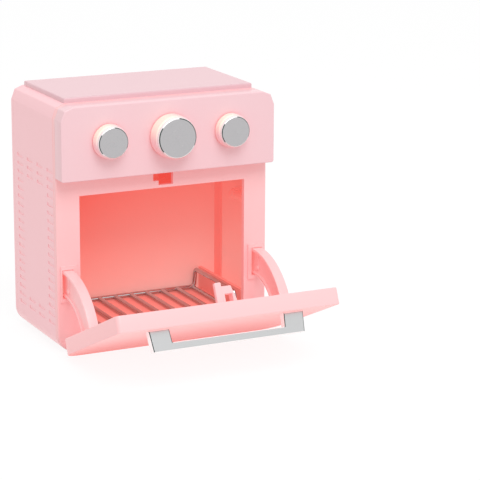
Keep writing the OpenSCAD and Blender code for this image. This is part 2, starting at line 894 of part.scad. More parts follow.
// Turns a section about the hinge axis, from angle a0 past upright, for span degrees
module about_hinge(x, a0, span) {
    translate([x, pivot_y, pivot_z])
        rotate([0, -90, 0])
            rotate([0, 0, a0])
                rotate_extrude(angle = span, $fn = SMOOTH * 2)
                    children();
}

// Curved stay that slides into the body as the door closes
module stay_arm(s) {
    x = s * arm_x;
    foot_y = liner_y - liner_t - seam / 2;
    foot_t = 1.2;
    color(PINK)
    opened() {
        about_hinge(x, 0, arc_turn)
            arm_section();
        // stop behind the frame
        about_hinge(x, arc_turn - stop_end - stop_arc, stop_arc)
            translate([arm_out_r - BITE, -arm_w / 2 + seam])
                square([stop_h + BITE, arm_w - 2 * seam]);
        // neck through the liner
        translate([x, pivot_y, pivot_z])
            rotate([90, 0, 0])
                linear_extrude(pivot_y - foot_y + BITE)
                    rotate([0, 0, 90])
                        arm_section();
        block([x - arm_w / 2 - 1, foot_y - foot_t, pivot_z + arm_in_r - 2],
              [x + arm_w / 2 + 1, foot_y, pivot_z + arm_out_r + 2]);
        // two beads on the web and the low rib between them
        for (at = [button_at, button_far])
            cross_bar(pivot_y + at * sin(button_turn), pivot_z + at * cos(button_turn),
                      button_r, x - rib_w / 2 + 0.2, x + rib_w / 2 - 0.2);
        about_hinge(x, button_turn - bead_turn, 2 * bead_turn)
            translate([button_at, -web_t / 2 - 0.4])
                square([button_far - button_at, web_t + 0.8]);
    }
}

handle_z1 = door_top - handle_down;
handle_posts = [for (s = [-1, 1])
    [s * (handle_w - leg_w) / 2, handle_z1 - handle_t / 2]];

// Bright bar handle, drawn as its outline from above
module door_handle() {
    half = handle_w / 2;
    tip = front_y - handle_out;
    corner = bar_d / 8;
    lean = leg_lean / handle_out;
    function side(y) = half + (y - front_y) * lean;
    right = [[side(front_y) - leg_w, front_y], [side(tip + bar_d) - leg_w, tip + bar_d]];
    outer = [[side(tip) - corner, tip], [side(tip + corner), tip + corner], [half, front_y]];
    color(CHROME)
    opened()
        difference() {
            translate([0, 0, handle_z1 - handle_t])
                linear_extrude(handle_t)
                    polygon(concat(right, [for (k = [1, 0]) [-right[k][0], right[k][1]]],
                        [for (k = [2, 1, 0]) [-outer[k][0], outer[k][1]]], outer));
            for (p = handle_posts)
                bar(p, screw_r, front_y - handle_out + bar_d, front_y + OVER);
        }
}

module handle_screws() {
    color(STEEL)
    opened()
        for (p = handle_posts)
            screw(p, front_y + wall, wall + thread_l, FORWARD);
}

module door_screws() {
    color(STEEL)
    opened()
        for (p = door_posts)
            screw(p, liner_y, liner_y - front_y - wall - 0.5, FORWARD);
}

module hinge_pins() {
    reach = knuckle_half + ear_w;
    color(STEEL)
    for (s = [-1, 1])
        cross_bar(pivot_y, pivot_z, pin_r, s * hinge_x - reach, s * hinge_x + reach);
}

// ---------------------------------------------------------------- rack

wire_r = wire_d / 2;
base_z = sill_z + wire_r;
rail_z = base_z + rail_up;
rack_y0 = frame_y + rack_gap + wire_r;
rack_y1 = cover_y0 - rack_gap - wire_r;
bend = bend_r + wire_r;      // radius of a bend's middle line
// The uprights end where their upper bend begins, and the rails where it ends
upright_l = (rail_up - bend + bend * sin(rail_lean)) / cos(rail_lean);
rack_half = (rack_y1 - rack_y0) / 2;
rail_half = rack_half - upright_l * sin(rail_lean) - bend * cos(rail_lean);

// Bend of wire round the X axis's turn "turn", for an angle
module bend_of(turn, angle) {
    rotate([0, 0, turn])
        rotate_extrude(angle = angle, $fn = SOFT)
            translate([bend, 0])
                circle(wire_r, $fn = SOFT);
}

// Back end of the loop: across under the food, up at both sides, then forward
module rack_end() {
    translate([0, rack_half, 0])
        rotate([rail_lean, 0, 0]) {
            cross_bar(0, 0, wire_r, -rail_x + bend, rail_x - bend);
            for (s = [-1, 1]) {
                translate([s * (rail_x - bend), 0, bend])
                    rotate([90, 0, 0])
                        bend_of(s > 0 ? -90 : 180, 90);
                translate([s * rail_x, 0, bend])
                    cylinder(h = upright_l - bend, r = wire_r, $fn = SOFT);
            }
        }
    for (s = [-1, 1])
        translate([s * rail_x, rail_half, rail_up - bend])
            rotate([90, 0, 90]) {
                bend_of(rail_lean, 90 - rail_lean);
                // the join of bend and upright, a hair thicker than the wire
                rotate([0, 0, rail_lean])
                    translate([bend, 0, 0])
                        sphere(wire_r + 0.02, $fn = SOFT);
            }
}

// Loop of bent wire with a raised rail at each side
module rack_frame() {
    color(STEEL)
    translate([0, (rack_y0 + rack_y1) / 2, base_z]) {
        for (turn = [0, 180])
            rotate([0, 0, turn])
                rack_end();
        for (s = [-1, 1])
            bar([s * rail_x, rail_up], wire_r, -rail_half, rail_half);
    }
}

// Straight wires that the food stands on, welded into the loop
module rack_wires() {
    wire_pitch = 2 * (rail_x - 1) / (wire_n - 1);
    color(STEEL)
    for (i = [0:wire_n - 1])
        bar([(i - (wire_n - 1) / 2) * wire_pitch, base_z], wire_r, rack_y0, rack_y1);
}

// ---------------------------------------------------------------- knobs

// Each knob as [x, radius, how far it stands out]
KNOBS = [[-knob_pitch, knob_r, knob_out], [0, knob_big_r, knob_big_out],
         [knob_pitch, knob_r, knob_out]];
knob_gap = 0.3;

// Places a round shape, drawn along its own axis from the panel outwards, at a knob
module at_knob(k) {
    translate([k[0], front_y, knob_z])
        rotate([90, 0, 0])
            children();
}

// Collar: a ring with a soft front edge
module knob_collar(k) {
    depth = k[2] - cap_t;
    soft = 0.8;
    color(PINK)
    at_knob(k)
        rotate_extrude($fn = SMOOTH * 2)
            union() {
                translate([shaft_r + 0.02, knob_gap])
                    square([k[1] - shaft_r - 0.02, depth - knob_gap - soft]);
                translate([shaft_r + 0.02, depth - soft - BITE])
                    square([k[1] - soft - shaft_r - 0.02, soft + BITE]);
                translate([k[1] - soft, depth - soft])
                    circle(soft, $fn = SOFT);
            }
}

// Bright cap with a bevelled rim and a shallow dish
module knob_cap(k) {
    r = k[1] - cap_step;
    bevel = 0.5;
    z0 = k[2] - cap_t;
    top = k[2];
    color(CHROME)
    at_knob(k)
        rotate_extrude($fn = SMOOTH * 2)
            polygon([[0, z0 + 0.02], [r, z0 + 0.02], [r, top - bevel], [r - bevel, top],
                     [r - 2 * bevel, top], [r - 2.6 * bevel, top - 0.3], [0, top - 0.3]]);
}

// Shaft through the panel, with the groove that the clip sits in
module knob_shaft(k) {
    back = -wall - guide_l - clip_t - 1.6;
    groove = -wall - guide_l - seam - clip_t - seam;
    color(SALMON)
    at_knob(k)
        difference() {
            translate([0, 0, back])
                cylinder(h = k[2] - cap_t - back, r = shaft_r, $fn = SMOOTH);
            translate([0, 0, groove])
                rotate_extrude($fn = SMOOTH)
                    translate([shaft_r - 0.5, 0])
                        square([1, clip_t + 2 * seam]);
        }
}

module knob_clip(k) {
    color(STEEL)
    at_knob(k)
        translate([0, 0, -wall - guide_l - seam - clip_t])
            difference() {
                cylinder(h = clip_t, r = shaft_r + 1.2, $fn = SMOOTH);
                translate([0, 0, -OVER])
                    cylinder(h = clip_t + 2 * OVER, r = shaft_r - 0.48, $fn = SMOOTH);
                translate([-(shaft_r - 0.8), 0, -OVER])
                    cube([2 * (shaft_r - 0.8), shaft_r + 2, clip_t + 2 * OVER]);
            }
}

// ---------------------------------------------------------------- screws of the casing

module panel_screws() {
    color(STEEL)
    for (p = panel_posts)
        screw(p, frame_back, frame_t + thread_l, FORWARD);
}

module frame_screws() {
    color(STEEL)
    for (p = frame_posts)
        screw(p, frame_back + post_l + seam + lug_t, lug_t + thread_l, FORWARD);
}

module rear_screws() {
    color(STEEL)
    for (p = rear_posts)
        screw(p, cover_y1, cover_y1 - lip_y + thread_l, FORWARD);
}

module keeper_screws() {
    color(STEEL)
    for (p = keeper_posts)
        screw(p, frame_y, frame_t + keeper_t, BACKWARD);
}

outer_shell();
top_plate();
control_panel();
front_frame();
rear_cover();
cavity_floor();
cavity_ceiling();
latch_keeper();
hinge_pins();
panel_screws();
frame_screws();
rear_screws();
keeper_screws();
door_shell();
door_liner();
door_hook();
stay_arm(-1);  // stay_arm_left
stay_arm(1);  // stay_arm_right
door_handle();
handle_screws();
door_screws();
rack_frame();
rack_wires();
knob_collar(KNOBS[0]);  // knob_collar_left
knob_cap(KNOBS[0]);  // knob_cap_left
knob_shaft(KNOBS[0]);  // knob_shaft_left
knob_clip(KNOBS[0]);  // knob_clip_left
knob_collar(KNOBS[1]);  // knob_collar_middle
knob_cap(KNOBS[1]);  // knob_cap_middle
knob_shaft(KNOBS[1]);  // knob_shaft_middle
knob_clip(KNOBS[1]);  // knob_clip_middle
knob_collar(KNOBS[2]);  // knob_collar_right
knob_cap(KNOBS[2]);  // knob_cap_right
knob_shaft(KNOBS[2]);  // knob_shaft_right
knob_clip(KNOBS[2]);  // knob_clip_right
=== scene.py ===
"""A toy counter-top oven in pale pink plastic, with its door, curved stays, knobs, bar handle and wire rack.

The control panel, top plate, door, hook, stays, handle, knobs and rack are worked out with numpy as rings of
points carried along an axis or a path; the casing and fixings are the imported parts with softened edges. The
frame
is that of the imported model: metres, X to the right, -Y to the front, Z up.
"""

import json
import math

import bpy
import numpy as np
from bpy.props import FloatProperty, FloatVectorProperty, IntProperty, PointerProperty
from mathutils import Matrix, Vector


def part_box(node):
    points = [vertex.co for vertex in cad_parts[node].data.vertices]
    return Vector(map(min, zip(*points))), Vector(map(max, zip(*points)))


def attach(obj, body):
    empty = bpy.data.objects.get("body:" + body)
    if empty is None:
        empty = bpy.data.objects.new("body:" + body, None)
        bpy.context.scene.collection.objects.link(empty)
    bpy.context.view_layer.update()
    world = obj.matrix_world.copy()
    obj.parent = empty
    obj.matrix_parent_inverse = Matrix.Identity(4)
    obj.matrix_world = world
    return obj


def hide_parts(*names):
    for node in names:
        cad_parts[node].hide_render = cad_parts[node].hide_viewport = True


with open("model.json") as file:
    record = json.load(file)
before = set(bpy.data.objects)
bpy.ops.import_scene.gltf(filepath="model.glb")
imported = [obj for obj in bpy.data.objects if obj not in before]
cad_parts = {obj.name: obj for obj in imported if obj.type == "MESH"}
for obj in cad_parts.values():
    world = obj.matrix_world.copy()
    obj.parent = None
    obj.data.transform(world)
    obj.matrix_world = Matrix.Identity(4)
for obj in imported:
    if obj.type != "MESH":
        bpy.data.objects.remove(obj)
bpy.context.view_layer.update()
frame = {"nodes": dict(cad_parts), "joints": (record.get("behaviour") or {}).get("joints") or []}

bl_info = {
    "name": "Toy oven",
    "version": (1, 0, 0),
    "blender": (4, 5, 0),
    "location": "View3D > Sidebar > Toy oven",
    "description": "Builds the visible mouldings, metalwork and finishes of a toy oven",
    "category": "Object",
}

MM = 0.001


def node_box(name):
    """A node's lowest and highest corner as two arrays, in metres."""
    low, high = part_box(name)
    return np.array(low), np.array(high)


# Where the top corners' facets break: in from the side, and down from the flat top
CUT = np.array([[0.0, 6.6], [1.9, 1.6], [6.0, 0.0]]) * MM
BREAK = 0.8 * MM            # radius of those breaks
LOW_R = 9 * MM              # radius of the lower corners of the body and the door
DOOR_T = 8 * MM             # thickness of the door
TOP_GAP = 0.6 * MM          # from the closed door's top to the control panel
WALL = 2 * MM               # walls of the hollow panel and door
HINGE = next(j for j in frame["joints"] if j["name"] == "door_hinge")
PIVOT = np.array(HINGE["pos_m"])
DOOR_OPEN = math.radians(max(HINGE["range_deg"]))


def front_y():
    """Depth of the front faces of the control panel and of the closed door."""
    return node_box("control_panel")[0][1]


def door_top():
    """Height of the closed door's top edge."""
    return node_box("control_panel")[0][2] - TOP_GAP


# ------------------------------------------------------------------ sizes and colours

def rounding(name, description, default, low, high):
    """The property of a radius, from values in millimetres."""
    return FloatProperty(name=name, description=description, default=default * MM, min=low * MM,
                         max=high * MM, unit="LENGTH")


def tint(name, description, *default):
    """The property of a linear colour."""
    return FloatVectorProperty(name=name, description=description, default=default, size=3, subtype="COLOR",
                               min=0, max=1)


def light(name, description, default):
    """The property of a light's strength, from 0 to 1."""
    return FloatProperty(name=name, description=description, default=default, min=0, max=1)


class OvenEdges(bpy.types.PropertyGroup):
    """Roundings of the mouldings."""

    face: rounding("Panel edge", "Radius round the front face of the control panel", 0.5, 0.2, 1.9)
    door: rounding("Door edge", "Radius round the outer face of the door", 0.45, 0.2, 1.9)
    rim: rounding("Door rim", "Radius of the thin edge of the door's walls", 0.35, 0.1, 0.8)
    small: rounding("Small edges", "Radius of the crisp edges of the frame, rear cover, cavity and liner",
                    0.16, 0.05, 0.4)
    steps: IntProperty(name="Steps", description="Steps of a rounded edge", default=6, min=2, max=12)


class OvenPaint(bpy.types.PropertyGroup):
    """Colours of the plastics and metals, and of the light and shade painted on them, as linear values."""

    body: tint("Body pink", "Pale pink of the sleeve and the control panel", 0.715, 0.560, 0.600)
    # Painted shade and sheen: the top plate's pink is darker and greyer than the body's, to tone down the top
    # that the lamp lights most and to stand for its white sheen
    plate: tint("Plate pink", "Cooler pink of the raised top plate", 0.600, 0.460, 0.508)
    frame: tint("Frame pink", "Warmer pink of the front frame", 0.840, 0.550, 0.565)
    door: tint("Door pink", "Pale pink of the door's edges, its liner and its stays", 0.800, 0.545, 0.562)
    face: tint("Door face pink", "Pink of the door's outer face, away from the hinge", 0.800, 0.640, 0.650)
    # Painted shade: the red along the door face's lower edge and at the collars' feet
    edge: tint("Red edge", "Red of the door face's lower edge and of the collars' feet", 0.800, 0.110, 0.090)
    # Painted light: the cream that the caps throw on their collars, painted into the collars' colour
    glow: tint("Cream glow", "Warm light that the caps throw on their collars", 0.880, 0.850, 0.720)
    # Painted glow: the plastics' emission colour, which stands in for light coming through the thin pale
    # plastic and for the deep coral of its shaded parts
    painted_glow: tint("Soaked light", "Deep coral of light that comes through the plastic", 1.000, 0.250, 0.220)
    # Painted light and shade: the cavity's coral stands for the light that comes through the plastic and
    # bounces round inside, and it deepens towards the top, the left, the floor and the back corners, where
    # shade falls
    inside: tint("Cavity coral, low", "Coral of the cavity's walls near the floor", 0.900, 0.590, 0.540)
    upper: tint("Cavity coral, high", "Coral of the cavity's walls near the ceiling", 0.870, 0.215, 0.170)
    corner: tint("Cavity coral, corners", "Coral of the cavity's floor and back corners", 0.880, 0.300, 0.260)
    metal: tint("Plated caps", "Plated caps of the knobs", 0.490, 0.480, 0.490)
    handle: tint("Plated handle", "Plated bar of the handle", 0.600, 0.605, 0.610)
    # Painted reflections: the white and the dark arcs of the caps' rims, and the white sides and dark lines
    # of the handle, stand for the bright and dark surroundings that the metal mirrors
    painted_glint: tint("Polished edges", "Polished rims of the caps and sides of the handle", 0.960, 0.930, 0.930)
    arc: tint("Dark arcs", "Dark arcs and lines of the polished edges", 0.060, 0.080, 0.075)
    # Painted reflection: the grey wire's pink tint stands for the coral cavity that it mirrors
    wire: tint("Wire", "Plated wire of the rack", 0.640, 0.460, 0.480)
    screw: tint("Screw steel", "Plain steel of the screws and pins", 0.450, 0.455, 0.470)
    # Strengths of that painted glow; the cavity's walls glow in their own colour instead
    thin: light("Light through the plastic", "Strength of the soaked light in the pale parts", 0.18)
    wall: light("Light through the walls", "Strength of the soaked light in the thin walls", 0.26)
    outer: light("Light through the door", "Strength of the soaked light in the door's face", 0.42)
    thick: light("Light in the cavity", "Share of their colour that the cavity's walls send out", 0.22)


class OvenStage(bpy.types.PropertyGroup):
    """Camera, lamp and surrounding light."""

    azimuth: FloatProperty(name="Azimuth", description="Turn of the camera towards the oven's left side",
                           default=math.radians(26.33), subtype="ANGLE")
    elevation: FloatProperty(name="Elevation", description="Height of the camera above the horizon",
                             default=math.radians(14.48), subtype="ANGLE")
    roll: FloatProperty(name="Roll", description="Turn of the camera about its own line of sight",
                        default=math.radians(0.28), subtype="ANGLE")
    distance: FloatProperty(name="Distance", description="Camera to the point that it looks at",
                            default=1.04806, unit="LENGTH")
    target: FloatVectorProperty(name="Target", description="Point that the camera looks at",
                                default=(0.05314, 0.0, 0.03829), size=3, subtype="XYZ")
    lens: FloatProperty(name="Lens", description="Focal length in millimetres on a 36 mm sensor",
                        default=156.24)
    sky: FloatProperty(name="Surrounding light", description="Level of the even light of the white studio",
                       default=0.72, min=0, max=2)
    key: FloatProperty(name="Main lamp", description="Power of the large soft lamp in front, in watts",
                       default=11.0, min=0, max=60)


def settings():
    """The scene's own sizes, colours and stage values."""
    return bpy.context.scene.oven_edges, bpy.context.scene.oven_paint, bpy.context.scene.oven_stage


# ------------------------------------------------------------------ meshes from arrays

def add_piece(name, points, faces, body, material, replaces=(), smooth=35.0):
    """Makes a piece from an array of points and a list of faces, at the origin, riding on a body."""
    mesh = bpy.data.meshes.new(name)
    mesh.from_pydata(np.asarray(points, float), [], faces)
    mesh.validate()
    mesh.materials.append(material)
    mesh.polygons.foreach_set("use_smooth", np.ones(len(mesh.polygons), bool))
    mesh.set_sharp_from_angle(angle=math.radians(smooth))
    mesh.update()
    piece = bpy.data.objects.new(name, mesh)
    bpy.context.scene.collection.objects.link(piece)
    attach(piece, body)
    if replaces:
        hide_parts(*replaces)
    return piece


def ring_faces(rings, count, closed=False):
    """Quads between rings of count points: ring k's side i joins ring k + 1's. Closed joins last to first."""
    k = np.arange(rings if closed else rings - 1)[:, None]
    i = np.arange(count)[None, :]
    j = (i + 1) % count
    n = (k + 1) % rings
    return np.stack([k * count + i, k * count + j, n * count + j, n * count + i], -1).reshape(-1, 4).tolist()


def loft(rings, closed=False):
    """A skin over rings (R, N, 3): the quads between them, and unless it is closed its two end faces."""
    rings = np.asarray(rings, float)
    many, count = rings.shape[:2]
    faces = ring_faces(many, count, closed)
    if not closed:
        faces.append(list(range(count))[::-1])
        faces.append(list(range((many - 1) * count, many * count)))
    return rings.reshape(-1, 3), faces


def joined(*parts):
    """Several (points, faces) as one."""
    points, faces, start = [], [], 0
    for p, f in parts:
        points.append(np.asarray(p, float))
        faces += [[v + start for v in face] for face in f]
        start += len(p)
    return np.concatenate(points), faces


def outward(points, faces):
    """The faces turned so that the closed skin's signed volume, the sum of its tetrahedra, is positive."""
    volume = 0.0
    for f in faces:
        a, b, c = points[f[0]], points[f[1:-1]], points[f[2:]]
        volume += float((np.cross(b, c) @ a).sum())
    return faces if volume > 0 else [f[::-1] for f in faces]


def turned(points):
    """Points of the closed door turned open: (y, z) about the pivot by a plain rotation."""
    p = np.asarray(points, float) - PIVOT
    c, s = math.cos(DOOR_OPEN), math.sin(DOOR_OPEN)
    y, z = p[..., 1].copy(), p[..., 2].copy()
    p[..., 1], p[..., 2] = c * y - s * z, s * y + c * z
    return p + PIVOT


def one_skin(parts):
    """Several closed skins (points, faces) as one, each with its faces turned outwards."""
    return joined(*[(p, outward(p, f)) for p, f in parts])


def opened(parts):
    """Skins of the closed door turned open and made one."""
    return one_skin([(turned(p), f) for p, f in parts])


def rectangle(x0, y0, x1, y1):
    """The four corners of a rectangle, counterclockwise."""
    return np.array([[x0, y0], [x1, y0], [x1, y1], [x0, y1]])


def round_outline(low, high, radii, steps):
    """A rectangle's outline with a circular arc at each corner.

    low and high are its corners, radii those at right-bottom, right-top, left-top and left-bottom. Each arc's
    points are its centre plus radius times (cos, sin) over a quarter turn.
    """
    (x0, y0), (x1, y1) = low, high
    r = np.array(radii, float)[:, None]
    centre = np.array([[x1 - radii[0], y0 + radii[0]], [x1 - radii[1], y1 - radii[1]],
                       [x0 + radii[2], y1 - radii[2]], [x0 + radii[3], y0 + radii[3]]])
    a = (np.array([270, 0, 90, 180])[:, None] + np.linspace(0, 90, steps + 1)[None, :]) * math.pi / 180
    points = np.stack([centre[:, :1] + r * np.cos(a), centre[:, 1:] + r * np.sin(a)], -1)
    return points.reshape(-1, 2)


def inset_rect(low, high, radii, inset, steps):
    """round_outline moved inwards by inset, its corner radii getting smaller by as much."""
    low, high = np.array(low) + inset, np.array(high) - inset
    return round_outline(low, high, [max(r - inset, 0.25 * MM) for r in radii], steps)


def facets(half, top):
    """The ends of the right top corner's facets, and each facet's outward normal."""
    at = np.array([half, top]) - CUT
    run = np.diff(at, axis=0)
    return at, np.stack([run[:, 1], -run[:, 0]], 1) / np.linalg.norm(run, axis=1, keepdims=True)


def faceted_outline(half, z0, z1, radius, inset, steps):
    """The body's upright outline moved inwards: round lower corners, and two facets at each top corner.

    Each break between two sides is an arc of radius b about P - (inset + b) (n + m) / (1 + n.m), where P is
    the corner of the sharp outline and n and m are the sides' outward normals. The left mirrors the right.
    """
    at, out = facets(half, z1)
    out = np.concatenate([[[1.0, 0.0]], out, [[0.0, 1.0]]])
    n, m = out[:-1, None], out[1:, None]
    b = max(BREAK - inset, 0.05 * MM)
    w = np.linspace(0, 1, steps + 1)[None, :, None]
    way = n * (1 - w) + m * w
    way /= np.linalg.norm(way, axis=2, keepdims=True)
    breaks = at[:, None] - (inset + b) * (n + m) / (1 + (n * m).sum(2, keepdims=True)) + b * way
    r = max(radius - inset, 0.25 * MM)
    a = np.linspace(-math.pi / 2, 0, 2 * steps + 1)
    low = np.stack([half - inset - r + r * np.cos(a), z0 + inset + r + r * np.sin(a)], 1)
    right = np.concatenate([low, breaks.reshape(-1, 2)])
    return np.concatenate([right, right[::-1] * [-1, 1]])


def depth_inside(x, z, half, top, radius):
    """How far points lie inside the body's outline: the least distance to sides, facets and low corners."""
    at, out = facets(half, top)
    x = np.abs(x)
    p = np.stack([x, z], 1)
    under = ((at[None, :-1] - p[:, None]) * out[None]).sum(2).min(1)
    round_part = radius - np.hypot(np.maximum(x - half + radius, 0), np.maximum(radius - z, 0))
    corner = (x > half - radius) & (z < radius)
    depth = np.minimum(np.minimum(half - x, under), np.minimum(z, top - z))
    return np.where(corner, np.minimum(depth, round_part), depth)


def offset_outline(outline, inset):
    """A polygon moved inwards: each corner goes along the sum of its two sides' normals, to their mitre."""
    p = np.asarray(outline, float)
    d = np.roll(p, -1, 0) - p
    d /= np.linalg.norm(d, axis=1, keepdims=True)
    normal = np.stack([-d[:, 1], d[:, 0]], 1)
    before = np.roll(normal, 1, 0)
    return p + inset * (normal + before) / (1 + (normal * before).sum(1, keepdims=True))


def soft_outline(polygon, radii, inset, steps=4):
    """A counterclockwise polygon moved inwards, then rounded.

    Its outer corners lose the inset from their radii, and its inner ones gain it.
    """
    p = np.asarray(polygon, float)
    before, after = p - np.roll(p, 1, 0), np.roll(p, -1, 0) - p
    bulges = before[:, 0] * after[:, 1] - before[:, 1] * after[:, 0] > 0
    radii = np.broadcast_to(np.asarray(radii, float), len(p))
    radii = np.maximum(np.where(bulges, radii - inset, radii + inset), 0.02 * MM)
    return rounded_corners(offset_outline(p, inset), radii, steps)


def rounded_corners(polygon, radius, steps=4):
    """A polygon with an arc at each corner, which touches both sides at radius / tan(half its angle)."""
    p = np.asarray(polygon, float)
    a = np.roll(p, 1, 0) - p
    b = np.roll(p, -1, 0) - p
    la, lb = np.linalg.norm(a, axis=1, keepdims=True), np.linalg.norm(b, axis=1, keepdims=True)
    a, b = a / la, b / lb
    half = np.arccos(np.clip((a * b).sum(1, keepdims=True), -1, 1)) / 2
    radius = np.broadcast_to(np.asarray(radius, float).reshape(-1, 1), half.shape)
    reach = np.minimum(radius / np.tan(half), 0.45 * np.minimum(la, lb))
    radius = reach * np.tan(half)
    centre = p + (a + b) / np.linalg.norm(a + b, axis=1, keepdims=True) * radius / np.sin(half)
    t0, t1 = p + a * reach - centre, p + b * reach - centre
    w = np.linspace(0, 1, steps + 1)[None, :, None]
    t0, t1 = t0[:, None, :], t1[:, None, :]
    arc = t0 * (1 - w) + t1 * w
    arc *= radius[:, None, :] / np.linalg.norm(arc, axis=2, keepdims=True)
    return (centre[:, None, :] + arc).reshape(-1, 2)


def edge_steps(radius, steps):
    """A quarter-round edge as (how far in, how far down) pairs: in is r(1 - sin a), down is r(1 - cos a)."""
    a = np.linspace(0, math.pi / 2, steps + 1)
    return list(zip(radius * (1 - np.sin(a)), radius * (1 - np.cos(a))))


def slab(outline_at, low, high, edge_low, edge_high, place, steps):
    """A plate between two levels with both edges rounded.

    outline_at(inset) gives the outline moved inwards, and place(points, level) puts it in space. Each rounded
    edge is a run of outlines moved in by r(1 - sin a) at r(1 - cos a) from its face, and a narrow flat run
    keeps the face flat. An edge of radius 0 stays sharp.
    """
    runs = []
    if edge_low > 0:
        runs.append((edge_low * 1.5, low))
        runs += [(i, low + d) for i, d in edge_steps(edge_low, steps)]
    else:
        runs.append((0.0, low))
    if edge_high > 0:
        runs += [(i, high - d) for i, d in edge_steps(edge_high, steps)][::-1]
        runs.append((edge_high * 1.5, high))
    else:
        runs.append((0.0, high))
    return loft([place(outline_at(i), level) for i, level in runs])


def upright(points, y):
    """(x, z) points placed at depth y."""
    return np.stack([points[:, 0], np.full(len(points), y), points[:, 1]], 1)


def level(points, z):
    """(x, y) points placed at height z."""
    return np.stack([points[:, 0], points[:, 1], np.full(len(points), z)], 1)


def crosswise(points, x):
    """(y, z) points placed at x."""
    return np.stack([np.full(len(points), x), points[:, 0], points[:, 1]], 1)


def tray(outline_at, y_face, y_rim, wall, face_edge, rim_edge, steps):
    """An open tray from the inside out: floor, inner wall, rounded rim, outer wall, rounded edge and face.

    outline_at(inset) gives every ring's outline moved inwards, and each ring has its own depth. The rim's two
    edges are quarter circles of radius rim_edge, and the face's edge is one of radius face_edge.
    """
    side = 1 if y_rim > y_face else -1
    soft = 0.4 * MM
    runs = [(wall + 3 * soft, y_face + side * wall), (wall + soft, y_face + side * wall),
            (wall, y_face + side * (wall + soft))]
    a = np.linspace(0, math.pi, 9)
    height = y_rim - side * rim_edge * (1 - np.sin(a))
    runs += list(zip(wall - rim_edge * (1 - np.cos(a[:5])), height[:5]))
    runs += list(zip(rim_edge * (1 + np.cos(a[4:])), height[4:]))
    runs += [(i, y_face + side * d) for i, d in edge_steps(face_edge, steps)][::-1]
    runs.append((face_edge * 1.25, y_face))
    return loft([upright(outline_at(i), y) for i, y in runs])


def revolve(profile, centre, segments=96):
    """A profile of (radius, distance in front of the panel) pairs turned about the Y axis through a centre.

    A point is centre + (r cos t, -d, r sin t). The ends at radius 0 are closed as one face each.
    """
    t = np.linspace(0, 2 * math.pi, segments, endpoint=False)
    profile = np.asarray(profile, float)
    ring = np.stack([np.cos(t), np.zeros_like(t), np.sin(t)], 1)
    rings = centre + profile[:, :1, None] * ring[None] + np.array([0, -1, 0]) * profile[:, 1:, None]
    return loft(rings)


def tube(path, radius, reference, closed=False, segments=20):
    """A round tube along a path: each ring is the path's point plus radius times (cos t u + sin t v).

    u is the reference direction at that point made square to the path, and v is the path's direction cross u.
    """
    path = np.asarray(path, float)
    if closed:
        along = np.roll(path, -1, 0) - np.roll(path, 1, 0)
    else:
        along = np.gradient(path, axis=0)
    along /= np.linalg.norm(along, axis=1, keepdims=True)
    u = reference - (reference * along).sum(1, keepdims=True) * along
    u /= np.linalg.norm(u, axis=1, keepdims=True)
    v = np.cross(along, u)
    t = np.linspace(0, 2 * math.pi, segments, endpoint=False)[None, :, None]
    radius = np.broadcast_to(np.asarray(radius, float).reshape(-1, 1, 1), (len(path), 1, 1))
    rings = path[:, None, :] + radius * (np.cos(t) * u[:, None, :] + np.sin(t) * v[:, None, :])
    return loft(rings, closed=closed)


def bent_path(corners, radius, steps=8):
    """A closed path of straight runs with a circular bend at each corner.

    The bend touches both runs at radius / tan(half the corner's angle), and its points turn about its centre.
    """
    p = np.asarray(corners, float)
    a = np.roll(p, 1, 0) - p
    b = np.roll(p, -1, 0) - p
    a /= np.linalg.norm(a, axis=1, keepdims=True)
    b /= np.linalg.norm(b, axis=1, keepdims=True)
    half = np.arccos(np.clip((a * b).sum(1), -1, 1)) / 2
    middle = a + b
    middle /= np.linalg.norm(middle, axis=1, keepdims=True)
    centre = p + middle * (radius / np.sin(half))[:, None]
    side = b - a
    side /= np.linalg.norm(side, axis=1, keepdims=True)
    sweep = (math.pi / 2 - half)[:, None] * np.linspace(-1, 1, steps + 1)[None, :]
    arc = (centre[:, None, :] - radius * np.cos(sweep)[:, :, None] * middle[:, None, :]
           + radius * np.sin(sweep)[:, :, None] * side[:, None, :])
    return arc.reshape(-1, 3)


# ------------------------------------------------------------------ finishes

def node_group(name, sockets_in, sockets_out):
    """An empty shader node group with named inputs (name, kind, default) and outputs (name, kind)."""
    group = bpy.data.node_groups.new(name, "ShaderNodeTree")
    for label, kind, default in sockets_in:
        socket = group.interface.new_socket(label, in_out="INPUT", socket_type=kind)
        socket.default_value = default
    for label, kind in sockets_out:
        group.interface.new_socket(label, in_out="OUTPUT", socket_type=kind)
    return group


def wire_up(tree, links):
    """Joins nodes: each link is (from node, output, to node, input)."""
    for a, out, b, into in links:
        tree.links.new(a.outputs[out], b.inputs[into])


def new_node(tree, kind, **values):
    """A node with its properties, and its sockets by name where the name is a socket's."""
    node = tree.nodes.new(kind)
    for key, value in values.items():
        if hasattr(node, key):
            setattr(node, key, value)
        else:
            node.inputs[key.replace("_", " ")].default_value = value
    return node


def maths(tree, operation, second=None):
    """A maths node, with its second number where that is fixed."""
    node = new_node(tree, "ShaderNodeMath", operation=operation)
    if second is not None:
        node.inputs[1].default_value = second
    return node


# What a surface group gives to the shader
SURFACE = [("Color", "NodeSocketColor"), ("Roughness", "NodeSocketFloat"), ("Height", "NodeSocketFloat")]


